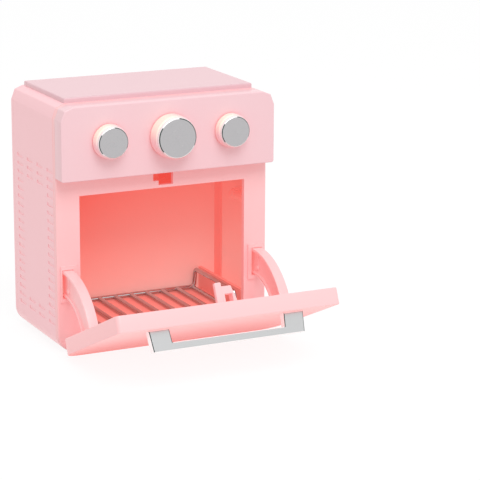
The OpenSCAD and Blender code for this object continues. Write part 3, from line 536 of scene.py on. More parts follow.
def moulded_group():
    """Moulded plastic: faint clouding of the colour, fine tooth in the gloss, and a slow waviness."""
    name = "moulded_surface"
    if name in bpy.data.node_groups:
        return bpy.data.node_groups[name]
    t = node_group(name,
                   [("Color", "NodeSocketColor", (0.9, 0.6, 0.6, 1)),
                    ("Deep", "NodeSocketColor", (0.8, 0.4, 0.4, 1)),
                    ("Clouding", "NodeSocketFloat", 0.3), ("Gloss", "NodeSocketFloat", 0.3),
                    ("Tooth", "NodeSocketFloat", 0.08)], SURFACE)
    into, out = new_node(t, "NodeGroupInput"), new_node(t, "NodeGroupOutput")
    place = new_node(t, "ShaderNodeTexCoord")
    cloud = new_node(t, "ShaderNodeTexNoise", Scale=38.0, Detail=3.0, Roughness=0.55)
    tooth = new_node(t, "ShaderNodeTexNoise", Scale=1900.0, Detail=2.0, Roughness=0.6)
    wave = new_node(t, "ShaderNodeTexNoise", Scale=70.0, Detail=1.0, Roughness=0.4)
    share = maths(t, "MULTIPLY")
    mix = new_node(t, "ShaderNodeMix", data_type="RGBA")
    centre = maths(t, "SUBTRACT", 0.5)
    spread = maths(t, "MULTIPLY_ADD")
    fine = maths(t, "MULTIPLY", 0.12)
    height = maths(t, "ADD")
    wire_up(t, [(place, "Object", cloud, "Vector"), (place, "Object", tooth, "Vector"),
                (place, "Object", wave, "Vector"),
                (cloud, "Fac", share, 0), (into, "Clouding", share, 1),
                (tooth, "Fac", centre, 0), (centre, 0, spread, 0), (into, "Tooth", spread, 1),
                (into, "Gloss", spread, 2),
                (tooth, "Fac", fine, 0), (fine, 0, height, 0), (wave, "Fac", height, 1),
                (spread, 0, out, "Roughness"), (height, 0, out, "Height"),
                (share, 0, mix, 0), (into, "Color", mix, 6), (into, "Deep", mix, 7), (mix, 2, out, "Color")])
    return t


def run_group():
    """0 at one place along a direction and 1 at another: (p.direction - start) / (end - start)."""
    name = "run_along"
    if name in bpy.data.node_groups:
        return bpy.data.node_groups[name]
    t = node_group(name, [("Direction", "NodeSocketVector", (0, 0, 1)), ("Start", "NodeSocketFloat", 0.0),
                          ("End", "NodeSocketFloat", 0.1)], [("Mask", "NodeSocketFloat")])
    into, out = new_node(t, "NodeGroupInput"), new_node(t, "NodeGroupOutput")
    place = new_node(t, "ShaderNodeTexCoord")
    along = new_node(t, "ShaderNodeVectorMath", operation="DOT_PRODUCT")
    run = new_node(t, "ShaderNodeMapRange")
    wire_up(t, [(place, "Object", along, 0), (into, "Direction", along, 1), (along, "Value", run, "Value"),
                (into, "Start", run, "From Min"), (into, "End", run, "From Max"),
                (run, "Result", out, "Mask")])
    return t


def brushed_group():
    """Plated metal: long faint streaks along one axis of the object's space, in colour and in gloss."""
    name = "plated_streaks"
    if name in bpy.data.node_groups:
        return bpy.data.node_groups[name]
    t = node_group(name,
                   [("Color", "NodeSocketColor", (0.6, 0.6, 0.6, 1)),
                    ("Stretch", "NodeSocketVector", (1, 1, 1)),
                    ("Streak", "NodeSocketFloat", 0.05), ("Gloss", "NodeSocketFloat", 0.2)], SURFACE)
    into, out = new_node(t, "NodeGroupInput"), new_node(t, "NodeGroupOutput")
    place = new_node(t, "ShaderNodeTexCoord")
    scale = new_node(t, "ShaderNodeVectorMath", operation="MULTIPLY")
    grain = new_node(t, "ShaderNodeTexNoise", Scale=1.0, Detail=3.0, Roughness=0.6)
    centre = maths(t, "SUBTRACT", 0.5)
    tone = maths(t, "MULTIPLY")
    bright = maths(t, "ADD", 1.0)
    shade = new_node(t, "ShaderNodeVectorMath", operation="SCALE")
    rough = maths(t, "ADD")
    wire_up(t, [(place, "Object", scale, 0), (into, "Stretch", scale, 1), (scale, 0, grain, "Vector"),
                (grain, "Fac", centre, 0), (centre, 0, tone, 0), (into, "Streak", tone, 1),
                (tone, 0, bright, 0),
                (into, "Color", shade, 0), (bright, 0, shade, "Scale"), (shade, 0, out, "Color"),
                (tone, 0, rough, 0), (into, "Gloss", rough, 1), (rough, 0, out, "Roughness"),
                (grain, "Fac", out, "Height")])
    return t


# Middle and half width, in degrees, of each painted dark reflection on a cap's rim
RIM_REFLECTIONS = ((30.0, 57.0), (182.0, 40.0))


def rim_reflection_group():
    """Painted reflections on a rim, white with dark arcs, from a map of each point's place from the axis as a
    share of the radius.

    A point is in an arc where the cosine of its turn from the arc's middle is above the arc's limit, and in
    the band where its share of the radius is between two limits.
    """
    name = "rim_arcs"
    if name in bpy.data.node_groups:
        return bpy.data.node_groups[name]
    t = node_group(name,
                   [("Face", "NodeSocketColor", (0.5, 0.5, 0.5, 1)),
                    ("Bright", "NodeSocketColor", (0.9, 0.9, 0.9, 1)),
                    ("Dark", "NodeSocketColor", (0.1, 0.1, 0.1, 1)), ("Inner", "NodeSocketFloat", 0.93),
                    ("Outer", "NodeSocketFloat", 0.98)],
                   [("Color", "NodeSocketColor"), ("Metallic", "NodeSocketFloat")])
    into, out = new_node(t, "NodeGroupInput"), new_node(t, "NodeGroupOutput")
    place = new_node(t, "ShaderNodeUVMap", uv_map="turn")
    away = new_node(t, "ShaderNodeVectorMath", operation="LENGTH")
    unit = new_node(t, "ShaderNodeVectorMath", operation="NORMALIZE")
    wire_up(t, [(place, "UV", away, 0), (place, "UV", unit, 0)])
    arcs = []
    for middle, half in RIM_REFLECTIONS:
        a, limit = math.radians(middle), math.cos(math.radians(half))
        along = new_node(t, "ShaderNodeVectorMath", operation="DOT_PRODUCT")
        along.inputs[1].default_value = (math.cos(a), math.sin(a), 0)
        soft = new_node(t, "ShaderNodeMapRange", From_Min=limit, From_Max=limit + 0.05)
        wire_up(t, [(unit, 0, along, 0), (along, "Value", soft, "Value")])
        arcs.append(soft)
    either, beyond, within = maths(t, "MAXIMUM"), maths(t, "GREATER_THAN"), maths(t, "LESS_THAN")
    band, dark = maths(t, "MULTIPLY"), maths(t, "MULTIPLY")
    rim = new_node(t, "ShaderNodeMix", data_type="RGBA")
    arc = new_node(t, "ShaderNodeMix", data_type="RGBA")
    # The rim is made less metallic, so that its painted reflections show as its colour
    plated = maths(t, "MULTIPLY_ADD", -0.7)     # 1 on the face and 0.3 on the rim
    plated.inputs[2].default_value = 1.0
    wire_up(t, [(beyond, 0, plated, 0), (plated, 0, out, "Metallic"),
                (arcs[0], "Result", either, 0), (arcs[1], "Result", either, 1),
                (away, "Value", beyond, 0), (into, "Inner", beyond, 1),
                (away, "Value", within, 0), (into, "Outer", within, 1),
                (beyond, 0, band, 0), (within, 0, band, 1), (band, 0, dark, 0), (either, 0, dark, 1),
                (beyond, 0, rim, 0), (into, "Face", rim, 6), (into, "Bright", rim, 7),
                (dark, 0, arc, 0), (rim, 2, arc, 6), (into, "Dark", arc, 7), (arc, 2, out, "Color")])
    return t


def place_group(tree, group, **values):
    """The group as a node of a material, with its own values."""
    node = tree.nodes.new("ShaderNodeGroup")
    node.node_tree = group
    for key, value in values.items():
        node.inputs[key].default_value = value
    return node


def rgba(colour, factor=(1, 1, 1)):
    """A linear colour with alpha 1, each channel times a factor."""
    return tuple(min(c * f, 1.0) for c, f in zip(colour, factor)) + (1.0,)


def wire_shader(tree, surface, strength, distance):
    """Leads a surface group's colour, roughness and height to the material's shader."""
    shader = tree.nodes["Principled BSDF"]
    bump = new_node(tree, "ShaderNodeBump", Strength=strength, Distance=distance)
    wire_up(tree, [(surface, "Color", shader, "Base Color"), (surface, "Roughness", shader, "Roughness"),
                   (surface, "Height", bump, "Height"), (bump, "Normal", shader, "Normal")])


def surface_of(material, group):
    """The material's node that holds the group of that name."""
    return next(n for n in material.node_tree.nodes if n.type == "GROUP" and n.node_tree.name == group)


def plastic(name, colour, gloss=0.30, coat=0.12, clouding=0.22, runs=(), thin=None, glow=None):
    """Glossy moulded plastic with a little painted coral glow, an emission that stands in for the light that
    thin pale plastic lets through.

    Each run (colour, direction, start, end) fades to its colour from start to end; the callers use runs for
    painted shade. thin is the strength of the painted coral glow, and glow that of a painted glow in the
    piece's own colour in place of it.
    """
    if name in bpy.data.materials:
        return bpy.data.materials[name]
    _, paint, _ = settings()
    material = bpy.data.materials.new(name)
    material.use_nodes = True
    t = material.node_tree
    shader = t.nodes["Principled BSDF"]
    shader.inputs["Coat Weight"].default_value = coat
    shader.inputs["Coat Roughness"].default_value = 0.18
    shader.inputs["IOR"].default_value = 1.45
    shader.inputs["Emission Color"].default_value = rgba(paint.painted_glow)
    shader.inputs["Emission Strength"].default_value = glow or thin or paint.thin
    surface = place_group(t, moulded_group(), Color=rgba(colour), Deep=rgba(colour, (0.985, 0.95, 0.95)),
                          Clouding=clouding, Gloss=gloss, Tooth=0.10)
    before = None
    for shade, direction, start, end in runs:
        along = place_group(t, run_group(), Direction=direction, Start=start, End=end)
        fade = new_node(t, "ShaderNodeMix", data_type="RGBA")
        t.links.new(along.outputs["Mask"], fade.inputs[0])
        fade.inputs[6].default_value, fade.inputs[7].default_value = rgba(colour), rgba(shade)
        if before:
            t.links.new(before.outputs[2], fade.inputs[6])
        before = fade
    if before:
        t.links.new(before.outputs[2], surface.inputs["Color"])
        t.links.new(before.outputs[2], surface.inputs["Deep"])
    if glow is not None:
        t.links.new(surface.outputs["Color"], shader.inputs["Emission Color"])
    wire_shader(t, surface, 0.05, 0.08 * MM)
    return material


def metal(name, colour, stretch, gloss, streak=0.06, metallic=1.0, glow=0.0):
    """Plated or drawn metal with streaks along the axis of the smallest stretch.

    glow is the strength of a painted glow in its own colour.
    """
    if name in bpy.data.materials:
        return bpy.data.materials[name]
    material = bpy.data.materials.new(name)
    material.use_nodes = True
    t = material.node_tree
    shader = t.nodes["Principled BSDF"]
    shader.inputs["Metallic"].default_value = metallic
    shader.inputs["Emission Strength"].default_value = glow
    surface = place_group(t, brushed_group(), Color=rgba(colour), Stretch=stretch, Streak=streak, Gloss=gloss)
    t.links.new(surface.outputs["Color"], shader.inputs["Emission Color"])
    wire_shader(t, surface, 0.04, 0.03 * MM)
    return material


def cap_metal():
    """Satin plated face, and a rim with painted reflections: white with dark arcs."""
    _, paint, _ = settings()
    if "cap_metal" in bpy.data.materials:
        return bpy.data.materials["cap_metal"]
    material = metal("cap_metal", paint.metal, (700.0, 700.0, 700.0), 0.26)
    t = material.node_tree
    arcs = place_group(t, rim_reflection_group(), Face=rgba(paint.metal), Bright=rgba(paint.painted_glint),
                       Dark=rgba(paint.arc))
    t.links.new(arcs.outputs["Color"], surface_of(material, "plated_streaks").inputs["Color"])
    t.links.new(arcs.outputs["Metallic"], t.nodes["Principled BSDF"].inputs["Metallic"])
    return material


def painted_cap_light_group():
    """A soft painted patch of light to one side of an axis: the cosine of the turn from its middle, from 0.45
    to 0.95.
    """
    name = "turn_patch"
    if name in bpy.data.node_groups:
        return bpy.data.node_groups[name]
    t = node_group(name,
                   [("Base", "NodeSocketColor", (0.8, 0.5, 0.5, 1)),
                    ("Patch", "NodeSocketColor", (0.9, 0.8, 0.7, 1))],
                   [("Color", "NodeSocketColor")])
    into, out = new_node(t, "NodeGroupInput"), new_node(t, "NodeGroupOutput")
    place = new_node(t, "ShaderNodeUVMap", uv_map="turn")
    unit = new_node(t, "ShaderNodeVectorMath", operation="NORMALIZE")
    along = new_node(t, "ShaderNodeVectorMath", operation="DOT_PRODUCT")
    middle = math.radians(128)
    along.inputs[1].default_value = (math.cos(middle), math.sin(middle), 0)
    soft = new_node(t, "ShaderNodeMapRange", From_Min=0.45, From_Max=0.95)
    mix = new_node(t, "ShaderNodeMix", data_type="RGBA")
    wire_up(t, [(place, "UV", unit, 0), (unit, 0, along, 0), (along, "Value", soft, "Value"),
                (soft, "Result", mix, 0), (into, "Base", mix, 6), (into, "Patch", mix, 7),
                (mix, 2, out, "Color")])
    return t


def body_plastic():
    """Pale pink of the panel."""
    _, paint, _ = settings()
    return plastic("body_plastic", paint.body)


def collar_plastic():
    """The body's pink with a painted patch of the caps' cream light at the upper left."""
    _, paint, _ = settings()
    if "collar_plastic" in bpy.data.materials:
        return bpy.data.materials["collar_plastic"]
    material = plastic("collar_plastic", paint.body, thin=paint.wall)
    t = material.node_tree
    patch = place_group(t, painted_cap_light_group(), Base=rgba(paint.body), Patch=rgba(paint.glow))
    surface = surface_of(material, "moulded_surface")
    for socket in ("Color", "Deep"):
        t.links.new(patch.outputs["Color"], surface.inputs[socket])
    return material


def frame_plastic():
    """Warmer pink of the front frame and the knobs' shafts."""
    _, paint, _ = settings()
    return plastic("frame_plastic", paint.frame)


def sleeve_plastic():
    """The body's pink made a little deeper, with a stronger painted glow that stands in for light through the
    sleeve's wall.
    """
    _, paint, _ = settings()
    return plastic("sleeve_plastic", rgba(paint.body, (1.0, 0.96, 0.97))[:3], thin=paint.wall)


def door_plastic():
    """Pale pink of the door's edges, liner, hook and stays."""
    _, paint, _ = settings()
    return plastic("door_plastic", paint.door, thin=paint.wall)


def door_face_plastic():
    """Pink under a strong painted glow, with painted shade that deepens it towards the hinge and turns it red
    in a line along the face's lower edge.
    """
    _, paint, _ = settings()
    material = plastic("door_face_plastic", paint.face, gloss=0.5, coat=0.0, thin=paint.outer,
                       runs=[(rgba(paint.face, (1.0, 0.8, 0.8))[:3], (0, 0, 1), 22 * MM, 4 * MM),
                             (paint.edge, (0, 0, 1), 2.8 * MM, 0.8 * MM)])
    material.node_tree.nodes["Principled BSDF"].inputs["Specular IOR Level"].default_value = 0.25
    return material


def contact_plastic():
    """Painted shade: red at the collars' feet, where they meet the panel."""
    _, paint, _ = settings()
    return plastic("contact_plastic", paint.edge, thin=paint.wall)


def plate_plastic():
    """Cooler, darker pink of the top plate, with painted shade and sheen."""
    _, paint, _ = settings()
    return plastic("plate_plastic", paint.plate)


def cavity_plastic():
    """Painted shade: coral that deepens towards the cavity's top and its left, with a painted glow in its own
    colour.
    """
    _, paint, _ = settings()
    return plastic("cavity_plastic", paint.inside, gloss=0.42, coat=0.05, glow=paint.thick,
                   runs=[(paint.upper, (-0.45, 0, 0.9), -15 * MM, 70 * MM)])


def corner_plastic():
    """Painted shade: deep coral on the cavity's floor and back corners, with a painted glow in its own
    colour.
    """
    _, paint, _ = settings()
    return plastic("corner_plastic", paint.corner, gloss=0.42, coat=0.05, glow=paint.thick)


# ------------------------------------------------------------------ pieces

def soften(name, radius):
    """Rounds a CAD node's own edges: triangles welded, flat parts cleared, edges past 30 degrees bevelled."""
    node = frame["nodes"][name]
    mesh = node.data
    if "custom_normal" in mesh.attributes:
        mesh.attributes.remove(mesh.attributes["custom_normal"])
    mesh.polygons.foreach_set("use_smooth", np.ones(len(mesh.polygons), bool))
    weld = node.modifiers.new("weld", "WELD")
    weld.merge_threshold = 1e-6
    flat = node.modifiers.new("flat", "DECIMATE")
    flat.decimate_type = "DISSOLVE"
    flat.angle_limit = math.radians(0.8)
    if radius > 0:
        bevel = node.modifiers.new("edges", "BEVEL")
        bevel.width = radius
        bevel.segments = 2
        bevel.limit_method = "ANGLE"
        bevel.angle_limit = math.radians(30)
        bevel.use_clamp_overlap = True
        bevel.harden_normals = True
    return node


def face_vectors(mesh, key):
    """The normal or center of each face, as an array (faces, 3)."""
    values = np.empty(len(mesh.polygons) * 3)
    mesh.polygons.foreach_get(key, values)
    return values.reshape(-1, 3)


def set_finishes(mesh, slots):
    """Gives each face the number of its material."""
    mesh.polygons.foreach_set("material_index", np.asarray(slots, np.int32))
    mesh.update()


def dress(name, material, *painted_shade_faces):
    """Gives a CAD node its finish, and each painted shade (material, inner) to the faces that inner picks."""
    mesh = frame["nodes"][name].data
    mesh.materials.clear()
    mesh.materials.append(material)
    slots = np.zeros(len(mesh.polygons), np.int32)
    centres = face_vectors(mesh, "center")
    for k, (painted_shade, inner) in enumerate(painted_shade_faces, 1):
        mesh.materials.append(painted_shade)
        slots[inner(centres)] = k
    set_finishes(mesh, slots)


class OVEN_OT_casing(bpy.types.Operator):
    """Sleeve, front frame, rear cover and the walls of the cavity, with softened edges and painted shade
    inside the cavity
    """

    bl_idname = "oven.casing"
    bl_label = "Casing"

    skin = 1 * MM               # faces deeper than this inside the body's outline are the cavity's
    shade_from = 4.4 * MM      # from the rear cover's back to just behind its inner face
    sleeve_edge = 0.05 * MM

    def execute(self, context):
        edges, _, _ = settings()
        shell_low, shell_high = node_box("outer_shell")
        back = node_box("rear_cover")[1][1] - self.shade_from
        front = shell_low[1] - 0.3 * MM

        def deep(c):
            return depth_inside(c[:, 0], c[:, 2], shell_high[0], shell_high[2], LOW_R) > self.skin

        # Painted shade: the faces inside the cavity take coral in place of the pink of the same mouldings,
        # deepest at the rear cover's back corners
        painted_shade_faces = {
            "outer_shell": [(cavity_plastic(), deep)],
            "rear_cover": [(cavity_plastic(), lambda c: deep(c) & (c[:, 1] < back)),
                           (corner_plastic(), lambda c: deep(c) & (c[:, 1] < back - 0.5 * MM))],
            "front_frame": [(cavity_plastic(), lambda c: deep(c) & (c[:, 1] > front))],
        }
        for name, material in (("outer_shell", sleeve_plastic()), ("front_frame", frame_plastic()),
                               ("rear_cover", sleeve_plastic()), ("cavity_floor", corner_plastic()),
                               ("cavity_ceiling", cavity_plastic()), ("latch_keeper", cavity_plastic()),
                               ("door_liner", door_plastic())):
            soften(name, self.sleeve_edge if name == "outer_shell" else edges.small)
            dress(name, material, *painted_shade_faces.get(name, ()))
        return {"FINISHED"}


class OVEN_OT_fixings(bpy.types.Operator):
    """Screws, hinge pins, knob shafts and clips"""

    bl_idname = "oven.fixings"
    bl_label = "Fixings"

    def execute(self, context):
        _, paint, _ = settings()
        steel = metal("screw_steel", paint.screw, (900.0, 900.0, 900.0), 0.34, 0.12)
        for name in frame["nodes"]:
            if name.endswith("_screws") or name == "hinge_pins" or name.startswith("knob_clip"):
                soften(name, 0.08 * MM)
                dress(name, steel)
            if name.startswith("knob_shaft"):
                soften(name, 0.0)
                dress(name, frame_plastic())
        return {"FINISHED"}


class OVEN_OT_control_panel(bpy.types.Operator):
    """Hollow control panel: a tray with faceted top corners and a soft front edge"""

    bl_idname = "oven.control_panel"
    bl_label = "Control panel"

    low_r = 1.2 * MM            # lower corners
    rim = 0.12 * MM             # edges of the walls at the back

    def execute(self, context):
        edges, _, _ = settings()
        low, high = node_box("control_panel")

        def outline(inset):
            return faceted_outline(high[0], low[2], high[2], self.low_r, inset, edges.steps)

        points, faces = tray(outline, low[1], high[1], WALL, edges.face, self.rim, edges.steps)
        add_piece("panel_front", points, outward(points, faces), "housing", body_plastic(),
                  ["control_panel"])
        return {"FINISHED"}


class OVEN_OT_top_plate(bpy.types.Operator):
    """Raised plate on the flat top, with a rounded upper edge"""

    bl_idname = "oven.top_plate"
    bl_label = "Top plate"

    corner = 0.5 * MM
    edge = 0.7 * MM

    def execute(self, context):
        low, high = node_box("top_plate")
        base = node_box("outer_shell")[1][2]

        def outline(inset):
            return inset_rect(low[:2], high[:2], [self.corner] * 4, inset, 3)

        points, faces = slab(outline, base, high[2], 0.0, self.edge, level, 5)
        add_piece("roof_plate", points, outward(points, faces), "housing", plate_plastic(),
                  ["top_plate"])
        return {"FINISHED"}


class OVEN_OT_door(bpy.types.Operator):
    """Outer moulding of the door with its two hinge knuckles, worked out closed and turned open"""

    bl_idname = "oven.door"
    bl_label = "Door"

    bottom = 9.0 * MM           # height of the lower edge
    top_r = 2 * MM
    ear = 1.9 * MM              # width of the frame's ear beside a knuckle
    ear_gap = 0.25 * MM
    knuckle_half = 2.7 * MM
    knuckle_r = 2.2 * MM

    def execute(self, context):
        edges, _, _ = settings()
        half, top = node_box("door_shell")[1][0], door_top()
        radii = [LOW_R, self.top_r, self.top_r, LOW_R]

        def outline(inset):
            return inset_rect((-half, self.bottom), (half, top), radii, inset, 2 * edges.steps)

        shell = tray(outline, front_y(), front_y() + DOOR_T, WALL, edges.door, edges.rim, edges.steps)
        points, faces = opened([shell, self.knuckle(-1), self.knuckle(1)])
        panel = add_piece("door_panel", points, faces, "door", door_plastic(), ["door_shell"])
        self.colour_face(panel.data)
        return {"FINISHED"}

    def colour_face(self, mesh):
        """Gives the faces that look along the open door's outer direction the face's pink with its painted
        shade.
        """
        mesh.materials.append(door_face_plastic())
        out = turned(PIVOT + [0, -1, 0]) - PIVOT
        set_finishes(mesh, face_vectors(mesh, "normal") @ out > 0.5)

    def knuckle(self, side):
        """A drop-shaped section, an arc about the pin and straight sides up to the door, carried along X."""
        r, behind = self.knuckle_r, PIVOT[1] + 0.4 * MM
        a = np.linspace(math.radians(-180), math.radians(10), 20)
        section = np.stack([PIVOT[1] + r * np.cos(a), PIVOT[2] + r * np.sin(a)], 1)
        top = self.bottom + 0.4 * MM
        rise = [[behind, PIVOT[2] + 2.1 * MM], [behind, top], [PIVOT[1] - r, top]]
        section = np.concatenate([section, rise])
        pins = node_box("hinge_pins")
        half = self.knuckle_half
        middle = side * (pins[1][0] - self.ear - self.ear_gap - half)
        return slab(lambda i: offset_outline(section, i), middle - half, middle + half, 0.2 * MM, 0.2 * MM,
                    crosswise, 3)


class OVEN_OT_hook(bpy.types.Operator):
    """Latch hook of the door: a tall prong, a ramped plate with a window, and the foot under the liner"""

    bl_idname = "oven.hook"
    bl_label = "Door hook"

    drop = 2.1 * MM             # from the door's top
    height = 4.6 * MM
    half = 4.9 * MM             # half width over the plate and the prong
    prong = 2.8 * MM            # width of the tall prong
    prong_height = 2.4 * MM
    sunk = 3.3 * MM             # from the door's back to the root, under the liner
    reach = 7.4 * MM            # of the plate behind the door
    tall = 9.3 * MM             # reach of the prong behind the door
    ramp, ramp_in = 6.6 * MM, 2 * MM            # depth and width of the ramp
    window = (1.4 * MM, 5.2 * MM, 3.7 * MM)     # near and far side from the prong, and reach
    foot = 2 * MM               # how far the foot stands out round the root
    foot_t = 1.2 * MM
    soft = 0.25 * MM

    def execute(self, context):
        top, back = door_top() - self.drop, front_y() + DOOR_T
        low, root = top - self.height, back - self.sunk
        parts = [self.plate(low, top, root, back)]
        edge = -self.half + self.prong + 0.3 * MM
        block = rounded_corners(rectangle(-self.half, root, edge, back + self.tall), 0.5 * MM, 3)
        parts.append(slab(lambda i: offset_outline(block, i), top - self.prong_height, top, self.soft,
                          self.soft, level, 3))
        foot = rectangle(-self.half - self.foot, root - self.foot_t, self.half + self.foot, root)
        parts.append(slab(lambda i: offset_outline(foot, i), low - self.foot, top, 0.1 * MM, 0.1 * MM,
                          level, 2))
        points, faces = opened(parts)
        add_piece("latch_hook", points, faces, "door", door_plastic(), ["door_hook"])
        return {"FINISHED"}

    def plate(self, low, top, root, back):
        """The ramped plate and its window, as a closed loft from the outer outline round to the inner one."""
        x0, half, reach, soft = -self.half + self.prong, self.half, back + self.reach, self.soft
        near, far, deep = x0 + self.window[0], x0 + self.window[1], back + self.window[2]
        outer = np.array([[x0, root], [half, root], [half, reach - self.ramp], [half - self.ramp_in, reach],
                          [x0, reach], [x0, (root + reach) / 2]])
        inner = np.array([[near, back], [far, back], [far, back + 1.6 * MM], [far, deep], [near, deep],
                          [near, (back + deep) / 2]])
        section = [(outer, low, soft), (outer, low + soft, 0), (outer, top - soft, 0), (outer, top, soft),
                   (inner, top, -soft), (inner, top - soft, 0), (inner, low + soft, 0), (inner, low, -soft)]
        return loft(np.stack([level(offset_outline(o, i), z) for o, z, i in section]), closed=True)


class OVEN_OT_stays(bpy.types.Operator):
    """Two curved stay arms: a flanged section carried from the door round the hinge axis into the body"""

    bl_idname = "oven.stays"
    bl_label = "Stay arms"

    outer = 35.2 * MM           # radii about the hinge axis
    inner = 22.2 * MM
    half_w, half_rib, half_web = 2.5 * MM, 1.7 * MM, 0.7 * MM
    flange_t, rib_t = 1.6 * MM, 1.2 * MM
    near, far = 26 * MM, 32.4 * MM              # the beads' distances from the hinge axis
    beads = math.radians(5.9)                   # turn of the beads short of the open angle
    liner_in = 1.25 * MM        # from the door's back to the liner
    foot_gap = 2.05 * MM        # the liner and half a seam
    foot_t = 1.2 * MM
    foot_half, foot_over = 3.5 * MM, 2 * MM     # half width, and reach past the arm
    behind = (2.5 + 1.15 + 0.3) * MM            # the frame, the axis in front of it, and a clearance
    tail = math.radians(3.0)    # the stop and the short end after it
    stop_end = math.radians(0.4)
    stop_h, stop_half = 1.6 * MM, 2.4 * MM

    def execute(self, context):
        foot_y = front_y() + DOOR_T - self.liner_in - self.foot_gap
        end = DOOR_OPEN + math.asin(self.behind / self.outer) + self.tail
        section = self.section()
        for side, label in ((-1, "left"), (1, "right")):
            low, high = node_box("stay_arm_" + label)
            x = side * (np.abs([low[0], high[0]]).mean())
            neck = np.stack([x + section[:, 1], np.full(len(section), foot_y - 0.3 * MM),
                             PIVOT[2] + section[:, 0]], -1)
            arc = self.swept(x, section, np.linspace(0, end, 60))
            parts = [loft(np.concatenate([neck[None], arc]))]
            parts += [self.stop(x, end), self.foot(x, foot_y), self.rib(x)]
            parts += [self.button(x, at, way) for way in (-1, 1) for at in (self.near, self.far)]
            points, faces = opened(parts)
            add_piece("stay_" + label, points, faces, "door", door_plastic(),
                      ["stay_arm_" + label])
        return {"FINISHED"}

    def section(self):
        """The arm's section as (distance from the hinge axis, place across): flange, web and rib."""
        o, i, w, web, rib = self.outer, self.inner, self.half_w, self.half_web, self.half_rib
        flange, step = o - self.flange_t, i + self.rib_t
        points = np.array([[i, -rib], [step, -rib], [step, -web], [flange, -web], [flange, -w], [o, -w],
                           [o, w], [flange, w], [flange, web], [step, web], [step, rib], [i, rib]])
        return rounded_corners(points, 0.32 * MM, 4)

    def swept(self, x, section, turns):
        """The section at each turn round the hinge axis."""
        radius, across = section[:, 0], section[:, 1]
        return np.stack([np.broadcast_to(x + across, (len(turns), len(section))),
                         PIVOT[1] + np.sin(turns)[:, None] * radius,
                         PIVOT[2] + np.cos(turns)[:, None] * radius], -1)

    def stop(self, x, end):
        """A block on the arm's outer side that rests behind the frame, as a short arc of a taller section."""
        block = rectangle(self.outer - 0.3 * MM, -self.stop_half, self.outer + self.stop_h, self.stop_half)
        turns = np.linspace(end - self.tail, end - self.stop_end, 6)
        return loft(self.swept(x, rounded_corners(block, 0.2 * MM, 3), turns))

    def foot(self, x, y):
        """The plate that holds the arm under the door's liner."""
        outline = rectangle(x - self.foot_half, PIVOT[2] + self.inner - self.foot_over,
                            x + self.foot_half, PIVOT[2] + self.outer + self.foot_over)
        return slab(lambda i: offset_outline(outline, i), y - self.foot_t, y, 0.1 * MM, 0.1 * MM, upright, 2)

    def rib(self, x):
        """The low rib between the beads, a box along a line through the hinge axis."""
        turn = DOOR_OPEN - self.beads
        along = np.array([math.sin(turn), math.cos(turn)])
        across = np.array([math.cos(turn), -math.sin(turn)])
        w, tall = 0.45 * MM, 1.1 * MM
        corners = np.stack([self.near * along - w * across, self.near * along + w * across,
                            self.far * along + w * across, self.far * along - w * across]) + PIVOT[1:]
        return slab(lambda i: offset_outline(corners, i), -tall, tall, 0.15 * MM, 0.15 * MM,
                    lambda points, out: crosswise(points, x + out), 3)

    def button(self, x, at, way):
        """A low round boss on the web: rings of a radius at a height, both in millimetres."""
        turn = DOOR_OPEN - self.beads
        centre = np.array([x, PIVOT[1] + at * math.sin(turn), PIVOT[2] + at * math.cos(turn)])
        t = np.linspace(0, 2 * math.pi, 24, endpoint=False)
        ring = np.stack([np.zeros_like(t), np.cos(t), np.sin(t)], 1)
        rings = [centre + ring * r * MM + np.array([way * h * MM, 0, 0])
                 for r, h in ((1.1, 0.5), (1.1, 1.2), (1.03, 1.4), (0.85, 1.5), (0.5, 1.54))]
        return loft(rings)


class OVEN_OT_handle(bpy.types.Operator):
    """Flat bright handle: a U-shaped outline between two levels, every edge rounded"""

    bl_idname = "oven.handle"
    bl_label = "Handle"

    drop = 6.3 * MM             # from the door's top
    height = 4.2 * MM
    edge = 0.4 * MM
    leg, bar, out = 10 * MM, 3.5 * MM, 9.8 * MM     # width of a leg, depth of the bar, reach from the door
    lean = 0.9 * MM             # how far each leg leans inwards

    def execute(self, context):
        half, face, top = node_box("door_handle")[1][0], front_y(), door_top() - self.drop
        leg, bar, out, lean = self.leg, self.bar, self.out, self.lean
        tip, notch = half - lean, lean * (out - bar) / out
        u = np.array([[-half, face], [-tip, face - out], [tip, face - out], [half, face], [half - leg, face],
                      [half - leg - notch, face - out + bar], [-half + leg + notch, face - out + bar],
                      [-half + leg, face]])
        radii = np.array([0.02, 0.45, 0.45, 0.02, 0.02, 0.3, 0.3, 0.02]) * MM
        points, faces = slab(lambda i: soft_outline(u, radii, i), top - self.height, top, self.edge,
                             self.edge, level, 4)
        points = turned(points)
        _, paint, _ = settings()
        stretch = (60.0, 2400.0, 2400.0)
        handle = add_piece("bar_handle", points, outward(points, faces), "door",
                           metal("handle_metal", paint.handle, stretch, 0.25), ["door_handle"], smooth=40)
        # Painted highlight: the handle's sides are near-white and glow a little, and the rounded edges at its
        # ends are dark lines, for the surroundings that the metal mirrors
        sides = metal("handle_sides", paint.painted_glint, stretch, 0.2, metallic=0.3, glow=0.15)
        self.paint_side_glints(handle.data, sides, metal("handle_lines", paint.arc, stretch, 0.2))
        return {"FINISHED"}

    def paint_side_glints(self, mesh, side, line):
        """Paints a white, slightly glowing glint on all but the two flat faces, and painted dark reflections
        on the rounded edges at the handle's ends.
        """
        mesh.materials.append(side)
        mesh.materials.append(line)
        normals = face_vectors(mesh, "normal")
        flat = np.abs(normals @ (turned(PIVOT + [0, 0, 1]) - PIVOT))
        slots = np.where(flat < 0.97, 1, 0)
        slots[(flat >= 0.3) & (flat < 0.99) & (np.abs(normals[:, 0]) > 0.1)] = 2
        set_finishes(mesh, slots)


